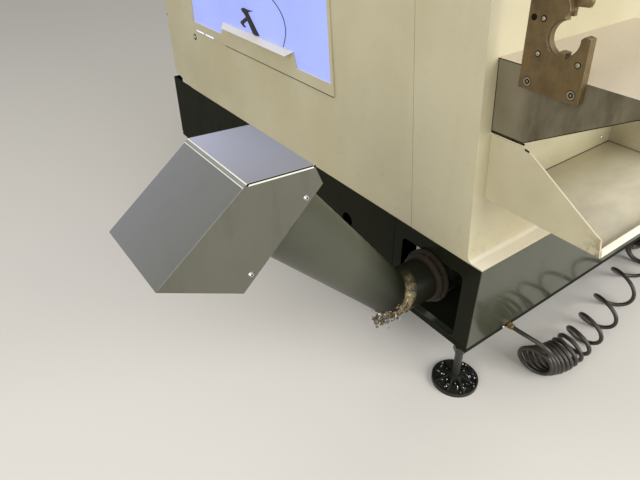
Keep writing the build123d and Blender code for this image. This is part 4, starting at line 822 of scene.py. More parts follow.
@dataclass
class Stage:
    """Plain pale floor, a pale surround and soft lamps."""

    floor_size: float = 40.0
    floor_colour: str = "#D2CEC6"
    backdrop: str = "#F1F0EC"
    ambient: float = 0.5
    # Each lamp's name, its place, its side in metres and its power in watts.
    lamps: tuple[tuple[str, Place, float, float], ...] = (
        ("key", (1700.0, -4600.0, 2700.0), 4.0, 320.0),
        ("fill", (-3800.0, -1200.0, 2200.0), 3.0, 90.0),
        ("top", (-900.0, 2200.0, 4200.0), 3.0, 40.0),
    )
    aim: Place = (100.0, 100.0, 500.0)

    def build(self) -> None:
        """Make the floor, the world and the three lamps, seen through the plain view transform."""
        bpy.context.scene.view_settings.view_transform = "Standard"
        self.floor()
        self.surround()
        for lamp in self.lamps:
            self.lamp(*lamp)

    def floor(self) -> None:
        """Lay the floor out."""
        bm = bmesh.new()
        bmesh.ops.create_grid(bm, x_segments=1, y_segments=1, size=self.floor_size / 2)
        mesh = bpy.data.meshes.new("studio_floor")
        bm.to_mesh(mesh)
        bm.free()
        mesh.materials.append(Paint("studio_floor", self.floor_colour).done({"Roughness": 0.8}))
        floor = linked("studio_floor", mesh)

    def surround(self) -> None:
        """Light the world softly and show a pale backdrop to the camera, to metal and to glass."""
        world = bpy.data.worlds.new("studio")
        bpy.context.scene.world = world
        world.use_nodes = True
        tree = world.node_tree
        tree.nodes.clear()
        soft = add_node(tree, "Background", {"Color": linear("#FFFFFF"), "Strength": self.ambient})
        pale = add_node(tree, "Background", {"Color": linear(self.backdrop), "Strength": 1.0})
        rays = add_node(tree, "LightPath")
        seen = rays.outputs["Is Camera Ray"]
        for name in ("Is Glossy Ray", "Is Transmission Ray"):
            links = {0: seen, 1: rays.outputs[name]}
            seen = add_node(tree, "Math", {"operation": "MAXIMUM"}, links).outputs[0]
        both = add_node(tree, "MixShader", None, {0: seen, 1: soft.outputs[0], 2: pale.outputs[0]})
        add_node(tree, "OutputWorld", None, {"Surface": both.outputs[0]})

    def lamp(self, name: str, place: Place, size: float, power: float) -> None:
        """Hang one soft square lamp, aimed at the corner in view.

        Args:
            name: The lamp's name.
            place: Where it hangs, in machine millimetres.
            size: Its side in metres.
            power: Its power in watts.
        """
        data = bpy.data.lights.new(name, "AREA")
        data.shape, data.size, data.energy = "SQUARE", size, power
        start = row(*place)
        linked(name, data).matrix_world = turned_to(start - row(*self.aim), start)


@dataclass
class AirHose:
    """Curly polyurethane air hose from its brass fitting to the blow gun, one smooth line."""

    diameter: float = 13.5
    per_turn: int = 14
    lead: tuple[Place, ...] = (
        (193.0, -20.0, 160.0), (193.0, -46.0, 160.5), (196.0, -78.0, 161.0), (202.0, -108.0, 157.0),
        (211.0, -130.0, 146.0), (219.0, -140.0, 131.0), (222.0, -134.0, 115.0), (219.0, -114.0, 107.0),
    )
    # X of the top of each turn: tight near the fitting, pulled out towards the right, closed
    # again where the unseen length lies.
    tops: tuple[float, ...] = (
        226.0, 238.0, 251.0, 265.0, 281.0, 298.0, 317.0, 340.0, 374.0, 418.0, 501.0, 616.0, 792.0, 1019.0,
        1034.0, 1049.0,
    )
    # The coil's middle line on the floor, X and Y.
    middle: tuple[Pair, ...] = (
        (214.0, -86.0), (226.0, -92.0), (251.0, -106.0), (281.0, -117.0), (317.0, -123.0), (374.0, -123.3),
        (450.0, -117.6), (560.0, -103.4), (700.0, -76.8), (800.0, -53.6), (900.0, -27.8), (1019.0, 2.0),
        (1080.0, 14.0),
    )
    tail: tuple[Place, ...] = (
        (1068.0, 56.0, 42.0), (1086.0, 58.0, 22.0), (1112.0, 56.0, 16.0), (1160.0, 48.0, 8.0),
        (1212.0, 24.0, 6.8), (1262.0, 2.0, 13.0), (1306.0, -14.0, 13.0),
    )
    radius_tight: float = 51.0
    radius_open: Pair = (47.9, 54.0)
    lean: Pair = (0.15, 0.4)
    swing: Pair = (0.2, -0.1)
    open_from: int = 8
    first_phase: float = 97.0
    # Where along X the coil is drawn out and where it closes again, and over what length.
    pull: Pair = (374.0, 430.0)
    close: Pair = (1019.0, 20.0)
    closed_radius: float = 6.0
    closed_lean: float = 0.3
    gap: float = 0.3

    def centre(self, x: float) -> float:
        """Work out Y of the coil's middle line at a place along X.

        Args:
            x: Place along the machine, in millimetres.

        Returns:
            Y in millimetres.
        """
        for (x0, y0), (x1, y1) in zip(self.middle, self.middle[1:]):
            if x <= x1:
                break
        return y0 + (y1 - y0) * (x - x0) / (x1 - x0)

    def turn_point(self, turn: int, step: int) -> Place:
        """Work out one point of the coil, on a turn that leans and swings a little from its neighbours.

        Args:
            turn: Number of the turn.
            step: Number of the point on that turn.

        Returns:
            The place in machine millimetres.
        """
        share = step / self.per_turn
        x = self.tops[turn] + (self.tops[turn + 1] - self.tops[turn]) * share
        tight = min(1.0, (turn + share) / self.open_from)
        pulled, closed = (max(0.0, min(1.0, (x - start) / way)) for start, way in (self.pull, self.close))
        radius = self.radius_tight + (self.radius_open[0] - self.radius_tight) * tight
        radius += (self.radius_open[1] - self.radius_open[0]) * pulled - self.closed_radius * closed
        lean = self.lean[0] + (self.lean[1] - self.lean[0]) * tight - self.closed_lean * closed
        swing = self.swing[0] + (self.swing[1] - self.swing[0]) * tight
        heading = math.atan2(self.centre(x + 5) - self.centre(x - 5), 10.0) * tight + swing
        phase = math.radians(self.first_phase - 360.0 * share)
        upright = math.sqrt(1 - lean * lean)
        across = radius * math.cos(phase)
        return (
            x - math.sin(heading) * across - lean * radius * math.sin(phase),
            self.centre(x) + math.cos(heading) * across,
            self.diameter / 2 + self.gap + radius * upright * (1 + math.sin(phase)),
        )

    def route(self) -> list[Vector]:
        """List every control point from the fitting to the gun.

        Returns:
            The points in order, in the frame.
        """
        turns = len(self.tops) - 1
        coil = [self.turn_point(turn, step) for turn in range(turns) for step in range(self.per_turn)]
        last = [self.turn_point(turns - 1, self.per_turn + step) for step in range(self.per_turn // 4)]
        return [row(*point) for point in (*self.lead, *coil, *last, *self.tail)]

    def length(self, points: list[Vector]) -> float:
        """Measure the smooth line through a route's control points.

        Args:
            points: Control points in metres.

        Returns:
            Length in metres.
        """
        whole, here = 0.0, points[0]
        for index in range(1, len(points) - 1):
            start = points[0] if index == 1 else (points[index - 1] + points[index]) / 2
            end = points[-1] if index == len(points) - 2 else (points[index] + points[index + 1]) / 2
            for part in range(1, 9):
                t = part / 8
                there = (1 - t) ** 2 * start + 2 * t * (1 - t) * points[index] + t * t * end
                whole += (there - here).length
                here = there
        return whole

    def build(self, finishes: Finishes) -> Piece:
        """Args:
            finishes: The built materials.

        Returns:
            The hose's curve object.
        """
        points = self.route()
        hose = drawn_tube("air_hose", points, self.diameter / 2)
        hose.data.splines[0].resolution_u = 4
        hose.data.bevel_resolution = 3
        hose.data.use_fill_caps = True
        hose.data.materials.append(finishes["hose_polyurethane"])
        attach(hose, "frame")
        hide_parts("air_hose_lead", "air_hose_coil", "air_hose_tail")
        self.length(points)
        return hose


@dataclass(frozen=True)
class Dressing:
    """How one CAD node is dressed: its finish, the width of its rounded edges and what they show."""

    finish: str
    width: float = 0.0
    edge: Edge = Edge.SHARP


@dataclass
class Dresser:
    """Dresses each CAD node, in a rounded copy where its edges show and as it is elsewhere."""

    finishes: Finishes
    bare_edge: str = "rubbed_sheet_edge"
    smooth: float = 30.0
    merged: float = 0.02
    flat: float = 0.6
    sharp: float = 38.0

    def dress(self, node: str, dressing: Dressing) -> Piece:
        """Dress one node.

        Args:
            node: Name of the CAD node.
            dressing: How it is dressed.

        Returns:
            The object that shows it: the node, or the copy that stands for it.
        """
        if dressing.edge is Edge.SHARP:
            return self.coat(node, dressing)
        return self.rounded(node, dressing)

    def coat(self, node: str, dressing: Dressing) -> Piece:
        """Give a CAD node its material and leave its mesh alone.

        Args:
            node: Name of the CAD node.
            dressing: How it is dressed.

        Returns:
            The node's object.
        """
        shown = frame["nodes"][node]
        if not shown.material_slots:
            shown.data.materials.append(self.finishes[dressing.finish])
        for slot in shown.material_slots:
            slot.material = self.finishes[dressing.finish]
        return shown

    def rounded(self, node: str, dressing: Dressing) -> Piece:
        """Copy a node's mesh, clean it and round its edges.

        Args:
            node: Name of the CAD node.
            dressing: How it is dressed.

        Returns:
            The copy, which stands for the node.
        """
        bm = bmesh.new()
        bm.from_mesh(frame["nodes"][node].data)
        bmesh.ops.remove_doubles(bm, verts=bm.verts, dist=self.merged * MM)
        bmesh.ops.dissolve_limit(bm, angle_limit=math.radians(self.flat), verts=bm.verts, edges=bm.edges)
        for face in bm.faces:
            face.material_index = 0
        second = self.bare_edge if dressing.edge is Edge.BARE else dressing.finish
        materials = [self.finishes[dressing.finish], self.finishes[second]]
        piece = new_piece(node + "_dressed", bm, materials, BODY_OF[node], self.smooth)
        bevel = piece.modifiers.new("folded_edges", "BEVEL")
        bevel.width = dressing.width * MM
        bevel.segments = 2
        bevel.limit_method = "ANGLE"
        bevel.angle_limit = math.radians(self.sharp)
        bevel.use_clamp_overlap = True
        bevel.material = 1
        weighted = piece.modifiers.new("flat_faces", "WEIGHTED_NORMAL")
        weighted.keep_sharp = True
        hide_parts(node)
        return piece


def dressing_plan() -> dict[str, Dressing]:
    """List what each CAD node of the machine is dressed in.

    Returns:
        A dressing for every node but the hose's and the doors'.
    """
    cream, painted, bare = "cream_powder_coat", Edge.PAINTED, Edge.BARE
    groups = [
        (Dressing("shaded_base_enamel"), "base_casting"),
        (Dressing("shaded_base_enamel", 1.2, painted), "side_skirts"),
        (Dressing("dark_base_enamel", 1.2, painted), "skirt_front"),
        (Dressing("olive_black_enamel"), "levelling_screws"),
        (Dressing("oiled_cast_pad"), "levelling_pads"),
        (Dressing("ground_steel"), "frame_rails x_rails spindle chip_pan"),
        (Dressing("ground_steel", 0.8, painted), "way_cover_fixed way_cover_middle way_cover_saddle"),
        (Dressing("ground_steel", 1.2, painted), "carousel"),
        (Dressing("milled_cast_iron", 0.8, painted), "table"),
        (Dressing("grey_casting_paint"), "carousel_beam"),
        (Dressing("grey_casting_paint", 1.6, painted), "carousel_arm"),
        (Dressing("grey_casting_paint", 3.0, painted), "saddle"),
        (Dressing("grey_casting_paint", 4.0, painted), "column"),
        (Dressing("cream_coat_inside"), "spindle_head"),
        (Dressing(cream), "window_hatch pendant_arm"),
        (Dressing(cream, 1.0, painted), "left_side_panel right_side_panel rear_panel door_rails"),
        (Dressing(cream, 1.2, painted), "front_panel_left front_panel_right front_crosspieces"),
        (Dressing(cream, 1.5, painted), "cabinet_door"),
        (Dressing(cream, 2.0, painted), "pendant_post pendant_box cabinet"),
        (Dressing("film_covered_pane"), "window_pane"),
        (Dressing("clear_door_pane"), "door_pane_left door_pane_right"),
        (Dressing("stained_shelf_sheet", 1.2, bare), "work_shelf"),
        (Dressing("wet_cream_tray", 0.8, painted), "catch_tray"),
        (Dressing("oily_brown_steel"), "auger_screw"),
        (Dressing("oily_brown_steel", 0.8, bare), "fixture_lever"),
        (Dressing("oily_brown_steel", 1.0, bare), "fixture_plate"),
        (Dressing("worn_bolt_steel"), "fixture_bolts"),
        (Dressing("coolant_caked_tube_enamel"), "discharge_tube"),
        (Dressing("brown_ring_enamel"), "tube_rings"),
        (Dressing("grey_hood_enamel", 1.2, painted), "hood"),
        (Dressing("grey_hood_enamel", 1.5, painted), "coolant_tank"),
        (Dressing("bright_zinc"), "hood_screws"),
        (Dressing("bright_zinc", 0.6, painted), "blow_gun_lever"),
        (Dressing("turned_brass", 0.6, painted), "air_fitting"),
        (Dressing("black_moulded_plastic", 0.8, painted), "handwheel blow_gun"),
        (Dressing("black_moulded_plastic", 1.6, painted), "drive_motors"),
        (Dressing("black_moulded_plastic", 2.0, painted), "spindle_motor"),
        (Dressing("red_moulded_plastic", 1.5, painted), "estop_button disconnect_handle"),
        (Dressing("green_moulded_plastic", 0.8, painted), "start_button"),
    ]
    return {node: dressing for dressing, nodes in groups for node in nodes.split()}


@dataclass
class Details:
    """A group of pieces that use the machine's finishes."""

    finishes: Finishes

    def piece(self, name: str, bm: Mesh, used: str, body: str = "frame", smooth: float = 35.0) -> Piece:
        """Make one piece in the finishes that are named, with spaces between, one for each slot."""
        return new_piece(name, bm, [self.finishes[finish] for finish in used.split()], body, smooth)


@dataclass
class SlidingDoors(Details):
    """The two doors: cream pans with black full-grip handles."""

    handle_height: float = 420.0

    def build(self) -> list[Piece]:
        """Round each door's pan and give its separate handle its own plastic.

        Returns:
            The dressed doors.
        """
        dressing = Dressing("cream_powder_coat", 1.0, Edge.PAINTED)
        doors = [Dresser(self.finishes).dress(node, dressing) for node in ("door_left", "door_right")]
        for door in doors:
            door.data.materials.append(self.finishes["black_moulded_plastic"])
            self.blacken_handle(door)
        return doors

    def blacken_handle(self, door: Piece) -> None:
        """Put the faces of a door's small separate solid in the third material slot.

        Args:
            door: The dressed door.
        """
        bm = bmesh.new()
        bm.from_mesh(door.data)
        left = set(bm.faces)
        while left:
            island, waiting = set(), [left.pop()]
            while waiting:
                face = waiting.pop()
                island.add(face)
                near = {other for edge in face.edges for other in edge.link_faces} & left
                left -= near
                waiting += near
            heights = [v.co.z for face in island for v in face.verts]
            if max(heights) - min(heights) < self.handle_height * MM:
                for face in island:
                    face.material_index = 2
        bm.to_mesh(door.data)
        bm.free()


@dataclass
class HatchDetails(Details):
    """Small things at the side window: hook, pull wire, a black strip of painted shadow under the sash,
    glowing slits, filler, a screw and a bumper.
    """

    face: float = -1.2
    hook: tuple[Pair, ...] = (
        (1158.0, 891.0), (1141.0, 897.0), (1114.0, 895.0), (1078.0, 897.0), (1111.0, 888.0), (1108.0, 882.0),
        (1045.0, 822.0), (1068.0, 818.0), (1086.0, 821.0), (1117.0, 858.0), (1142.0, 847.0), (1149.0, 841.0),
        (1134.0, 833.0), (1147.0, 831.0), (1169.0, 842.0), (1165.0, 848.0), (1127.0, 869.0), (1136.0, 877.0),
        (1150.0, 883.0),
    )
    thickness: float = 3.0
    wire: tuple[Pair, ...] = (
        (1080.0, 985.0), (1010.0, 980.0), (950.0, 957.0), (905.0, 930.0), (880.0, 898.0), (877.0, 858.0),
        (897.0, 819.5),
    )
    wire_radius: float = 1.1
    screw: Place = (0.0, 1577.5, 703.5)
    rear_bumper: Place = (8.0, 1844.0, 743.0)
    gasket: Place = (626.0, 1300.0, 733.8)
    glow_slits: tuple[Pair, ...] = ((1396.0, 1464.0), (1478.0, 1543.0))
    front_gap: tuple[Pair, Pair] = ((625.0, 735.0), (700.0, 1455.0))
    gap_width: float = 4.0

    def build(self) -> list[Piece]:
        """Make every piece of the group.

        Returns:
            The pieces.
        """
        return [
            self.latch(), self.pull_wire(), self.panel_screw(), self.shadow_strip(), self.slits(), self.flush_strip(),
            self.bumper(),
        ]

    def latch(self) -> Piece:
        """Make the flat black hook, cut from plate, on the pane.

        Returns:
            The piece.
        """
        bm = bmesh.new()
        add_prism(bm, [row(self.face, y, z) for y, z in self.hook], LEFT * self.thickness)
        rounded_edges(bm, bm.edges[:], 0.6)
        return self.piece("hatch_latch_hook", bm, "black_rubber_gasket", "hatch")

    def pull_wire(self) -> Piece:
        """Make the thin wire that bows from the hook down to the sash, as a mesh.

        Returns:
            The piece.
        """
        middle = self.face - self.wire_radius - 0.3
        shaped = drawn_tube("hatch_wire", [row(middle, y, z) for y, z in self.wire], self.wire_radius)
        mesh = bpy.data.meshes.new_from_object(shaped)
        bm = bmesh.new()
        bm.from_mesh(mesh)
        bpy.data.objects.remove(shaped)
        bpy.data.meshes.remove(mesh)
        return self.piece("hatch_pull_wire", bm, "black_rubber_gasket", "hatch")

    def panel_screw(self) -> Piece:
        """Make the domed socket screw in a black ring of painted shade, under the window's rear corner.

        Returns:
            The piece.
        """
        bm = bmesh.new()
        placed = turned_to(LEFT, row(*self.screw))
        dome = [(0, 0.2), (6.5, 0.2), (6.5, 1.6), (5.2, 3.2), (3.0, 3.9), (2.8, 2.0), (0, 1.8)]
        # The black disc round the head is painted shade.
        add_disc_stack(bm, [(0, -1), (12.5, -1), (12.5, 0.8), (0, 0.8)], placed, slot=1)
        add_disc_stack(bm, dome, placed)
        return self.piece("side_panel_screw", bm, "bright_zinc black_rubber_gasket")

    def shadow_strip(self) -> Piece:
        """Make the thin black strip under the sash's lower edge, a painted shadow that shows as its dark
        line.

        Returns:
            The piece.
        """
        bm = bmesh.new()
        y0, y1, top = self.gasket
        add_box(bm, row(-4.6, y0, top - 3.0), row(-0.2, y1, top), 0.5)
        return self.piece("hatch_shadow_strip", bm, "black_rubber_gasket", "hatch")

    def slits(self) -> Piece:
        """Make the two slits in the sash's lower edge, at the rear, with a painted glow as if the cabin's
        lamp shone through.

        Returns:
            The piece.
        """
        bm = bmesh.new()
        edge = self.gasket[2]
        for y0, y1 in self.glow_slits:
            add_box(bm, row(-5.5, y0, edge + 1.4), row(-4.6, y1, edge + 7.4), 0.2)
        return self.piece("hatch_glow_slits", bm, "painted_glow_slit", "hatch")

    def flush_strip(self) -> Piece:
        """Make the cream filler in the sash's front gap, so that sash and panel read as one sheet.

        Returns:
            The piece.
        """
        bm = bmesh.new()
        (y0, z0), (y1, z1) = self.front_gap
        corners = ((y0, z0), (y0 - self.gap_width, z0), (y1 - self.gap_width, z1), (y1, z1))
        add_prism(bm, [row(-0.4, y, z) for y, z in corners], LEFT * 4.4)
        return self.piece("hatch_front_filler", bm, "cream_powder_coat", "hatch")

    def bumper(self) -> Piece:
        """Make the black rubber bumper on the side panel's rear edge.

        Returns:
            The piece.
        """
        bm = bmesh.new()
        outline = [(0, -1), (8.0, -1), (8.0, 8.0), (5.5, 11.0), (0, 12.0)]
        add_disc_stack(bm, outline, turned_to(Vector((0, 1, 0)), row(*self.rear_bumper)))
        return self.piece("side_panel_bumper", bm, "black_rubber_gasket")


@dataclass
class TubeResidue(Details):
    """Dried coolant and chips caked under the tube's elbow, with a ragged tail that hangs from it."""

    elbow: Place = (-147.0, 172.0, 338.0)
    radius: float = 61.0
    rise: float = math.radians(48.6)
    lumps: int = 110
    chips: int = 130
    drops: int = 26
    drip: float = 40.0
    widest: float = 1.4
    seed: int = 7

    def mitre_place(self, angle: float, off: float) -> tuple[Vector, Vector]:
        """Find a place on the mitre's ring and the way out from it.

        Args:
            angle: Turn round the ring, 0 at its bottom, in radians.
            off: Distance from the mitre, in millimetres: up the tube, or back along the stub if negative.

        Returns:
            The place in the frame and the outward direction.
        """
        bend = math.pi / 2 - self.rise / 2
        across = Vector((0, 1, 0))
        down = Vector((-math.cos(bend), 0, -math.sin(bend)))
        out = across * math.sin(angle) + down * math.cos(angle)
        reach = self.radius * (1 + 0.1 * math.cos(angle) ** 2)
        along_tube = Vector((-math.cos(self.rise), 0, math.sin(self.rise))) if off > 0 else LEFT
        return row(*self.elbow) + (out * reach + along_tube * off) * MM, out

    def somewhere(self, chance: random.Random, turn: Pair, off: Pair) -> tuple[float, Vector, Vector]:
        """Draw a place round the mitre.

        Args:
            chance: Seeded source of chance.
            turn: Middle and spread of the turn round the ring, in radians.
            off: Middle and spread of the distance from the mitre, in millimetres.

        Returns:
            The turn, the place in the frame and the outward direction.
        """
        angle = max(-self.widest, min(self.widest, chance.gauss(*turn)))
        return angle, *self.mitre_place(angle, chance.gauss(*off))

    def build(self) -> list[Piece]:
        """Cake the elbow and hang the chips on it."""
        return [self.crust(), self.flakes()]

    def crust(self) -> Piece:
        """Make irregular lumps, thickest at the bottom of the mitre, and a tapering drip.

        Returns:
            The piece.
        """
        chance = random.Random(self.seed)
        bm = bmesh.new()
        for _ in range(self.lumps):
            angle, place, out = self.somewhere(chance, (-0.3, 0.5), (14.0, 20.0))
            size = chance.uniform(2.5, 7.5) * (0.4 + 0.6 * math.cos(angle / 2) ** 4) * MM
            self.lump(bm, chance, place - out * size * 0.45, size)
        bottom, _ = self.mitre_place(0.0, 0.0)
        for step in range(self.drops):
            drop = step / (self.drops - 1)
            spread = 11.0 * (1 - drop * 0.5)
            aside = (chance.uniform(-spread, spread) - 22.0 * (step % 2), chance.uniform(-spread, spread))
            place = bottom + Vector((*aside, 6.0 - self.drip * drop)) * MM
            self.lump(bm, chance, place, (7.0 - 4.0 * drop) * MM * chance.uniform(0.7, 1.15))
        return self.piece("elbow_residue", bm, "dried_coolant_crust", smooth=60.0)

    def lump(self, bm: Mesh, chance: random.Random, place: Vector, size: float) -> None:
        """Add one uneven lump.

        Args:
            bm: The bmesh that gets it.
            chance: Seeded source of chance.
            place: Its middle.
            size: Its radius in metres.
        """
        made = bmesh.ops.create_icosphere(bm, subdivisions=2, radius=size, matrix=Matrix.Translation(place))
        for vert in made["verts"]:
            vert.co += (vert.co - place) * chance.uniform(-0.35, 0.3)

    def flakes(self) -> Piece:
        """Make the short bright chips that stick out of the residue.

        Returns:
            The piece.
        """
        chance = random.Random(self.seed + 1)
        bm = bmesh.new()
        for _ in range(self.chips):
            angle, place, out = self.somewhere(chance, (-0.25, 0.45), (16.0, 20.0))
            drop = chance.random() ** 2 * self.drip if abs(angle) < 0.6 else 0.0
            place += (out * chance.uniform(1, 6) + Vector((0, 0, -drop))) * MM
            turn = chance.uniform(0, 6.28)
            axis = Vector((chance.random(), chance.random(), 0.3)).normalized()
            size = Vector((chance.uniform(3, 12), chance.uniform(1.5, 5.0), 0.4)) * MM
            placed = Matrix.Translation(place) @ Matrix.Rotation(turn, 4, axis) @ Matrix.Diagonal((*size, 1))
            bmesh.ops.create_cube(bm, size=1.0, matrix=placed)
        for index, face in enumerate(bm.faces):
            face.material_index = (index // 6) % 2
        return self.piece("elbow_chips", bm, "curled_swarf dried_coolant_crust", smooth=20.0)


@dataclass
class PadSwarf(Details):
    """Curled chips lying in each levelling pad; long bright arcs in the front left pad also stand in for
    glints on its rings.
    """

    columns: Pair = (20.0, 2180.0)
    rows: Place = (33.0, 934.0, 1835.0)
    floor: float = 9.3
    ring: Pair = (30.0, 62.0)
    # Short curls in the front left pad and in each of the others.
    short_curls: tuple[int, int] = (70, 12)
    # Long arcs of swarf round the front left pad, laid to stand in for glints on its rings.
    long_glint_curls: int = 34
    facets: int = 12
    seed: int = 11

    def build(self) -> list[Piece]:
        """Scatter curls in every pad, most of them in the front left one, where long arcs of swarf also stand
        in for glints on the pad's rings.

        Returns:
            The curls as one piece.
        """
        chance = random.Random(self.seed)
        bm = bmesh.new()
        feet = [(x, y) for y in self.rows for x in self.columns]
        many, few = self.short_curls
        for x, y in feet:
            for _ in range(many if (x, y) == feet[0] else few):
                turn = chance.uniform(0, 2 * math.pi)
                reach = chance.uniform(*self.ring)
                height = self.floor + chance.uniform(1.5, 7)
                place = row(x + reach * math.cos(turn), y + reach * math.sin(turn), height)
                tilt = Matrix.Rotation(chance.uniform(0, math.pi), 4, (chance.random(), chance.random(), 0.1))
                self.curl(bm, chance, Matrix.Translation(place) @ tilt, (2.0, 6.0), (2.4, 8.0))
        for _ in range(self.long_glint_curls):
            turn = Matrix.Rotation(chance.uniform(-2.0, 0.1), 4, "Z")
            place = row(*feet[0], self.floor + chance.uniform(1.0, 6.0))
            self.curl(bm, chance, Matrix.Translation(place) @ turn, (36.0, 64.0), (0.25, 0.8))
        return [self.piece("levelling_pad_swarf", bm, "curled_swarf", smooth=60.0)]

    def curl(self, bm: Mesh, chance: random.Random, placed: Matrix, radii: Pair, angles: Pair) -> None:
        """Add one thin curl, an arc or up to a turn and a quarter.

        Args:
            bm: The bmesh that gets it.
            chance: Seeded source of chance.
            placed: Where it goes.
            radii: Smallest and largest radius in millimetres.
            angles: Least and most that it goes round, in radians.
        """
        radius, angle = chance.uniform(*radii), chance.uniform(*angles)
        width = chance.uniform(0.8, 2.0)
        first = bm.verts.new((radius * MM, 0, 0))
        second = bm.verts.new(((radius + width * 0.5) * MM, 0, width * MM))
        edge = bm.edges.new((first, second))
        before = set(bm.verts)
        bmesh.ops.spin(
            bm, geom=[first, second, edge], cent=(0, 0, 0), axis=(0, 0, 1), angle=angle, steps=self.facets,
            dvec=(0, 0, chance.uniform(0.05, 0.35) * MM), use_merge=False,
        )
        ribbon = [first, second] + [v for v in bm.verts if v not in before]
        bmesh.ops.transform(bm, matrix=placed, verts=ribbon)


@dataclass
class SmallFastenings(Details):
    """Screws and a finger too small for the solids: on the skirt, under the tray and on the fixture."""

    fixture_face: float = 23.4
    # Y and Z of each sunk screw, and the radius of its worn crown, 0 where only the black disc shows.
    fixture_screws: tuple[Place, ...] = (
        (16.0, 1076.0, 0.0), (-6.0, 1077.0, 4.2), (-9.0, 1010.0, 4.6), (-99.0, 1009.0, 4.6),
    )
    fixture_bolts: tuple[Pair, ...] = ((2.0, 950.0), (-100.0, 950.0))
    finger: tuple[Pair, ...] = (
        (-30.0, 1128.0), (-84.0, 1126.0), (-86.0, 1117.0), (-83.0, 1107.5), (-56.0, 1105.0), (-56.5, 1087.5),
        (-42.0, 1086.5), (-38.5, 1097.0), (-33.0, 1099.0), (-30.0, 1110.0),
    )
    finger_face: float = 42.6
    finger_depth: float = 9.6
    button: tuple[Pair, ...] = (
        (0, -1), (4.6, -1), (4.6, 0.6), (3.6, 2.2), (2.0, 2.9), (1.8, 1.4), (0, 1.2),
    )
    front_screws: tuple[Place, ...] = ((556.0, 66.8, 652.0), (168.0, 0.0, 163.0))

    def build(self) -> list[Piece]:
        """Make the button screws, the fixture's sunk screws and the lever's finger."""
        return [self.front_buttons(), self.fixture_crowns(), self.lever_finger()]

    def front_buttons(self) -> Piece:
        """Make the button screws on the skirt and under the tray.

        Returns:
            The piece.
        """
        bm = bmesh.new()
        for place in self.front_screws:
            add_disc_stack(bm, list(self.button), turned_to(FRONT, row(*place)), 20)
        return self.piece("front_button_screws", bm, "bright_zinc")

    def fixture_crowns(self) -> Piece:
        """Make worn crowns of the fixture's screws, each in a black ring, and the rings of its bolts.

        Returns:
            The piece.
        """
        bm = bmesh.new()
        for y, z, radius in self.fixture_screws:
            placed = turned_to(LEFT, row(self.fixture_face, y, z))
            add_disc_stack(bm, [(0, -1), (6.6, -1), (6.6, 0.3), (0, 0.3)], placed, 24, 1)
            if radius:
                crown = [(0, 0), (radius, 0), (radius, 0.9), (radius * 0.7, 1.6), (0, 1.8)]
                add_disc_stack(bm, crown, placed, 24)
        rings = [
            ([(9.0, -1), (10.4, -1), (10.4, 0.2), (9.0, 0.2), (9.0, -1)], 1),
            ([(6.2, -1), (9.2, -1), (8.9, 0.7), (6.6, 0.7), (6.2, -1)], 0),
            ([(0, -1.2), (5.2, -1.2), (5.2, -0.5), (0, -0.5)], 1),
            ([(0, -0.7), (2.6, -0.7), (2.2, 0.2), (0, 0.3)], 0),
        ]
        for y, z in self.fixture_bolts:
            for outline, slot in rings:
                add_disc_stack(bm, outline, turned_to(LEFT, row(self.fixture_face, y, z)), 24, slot)
        return self.piece("fixture_crowns", bm, "worn_bolt_steel black_oil_grime")

    def lever_finger(self) -> Piece:
        """Make the stop lever's finger and nose, which hang in front of the opening's upper end.

        Returns:
            The piece.
        """
        bm = bmesh.new()
        add_prism(bm, [row(self.finger_face, y, z) for y, z in self.finger], LEFT * -self.finger_depth)
        rounded_edges(bm, bm.edges[:], 1.2)
        return self.piece("fixture_lever_finger", bm, "oily_brown_steel", BODY_OF["fixture_lever"])


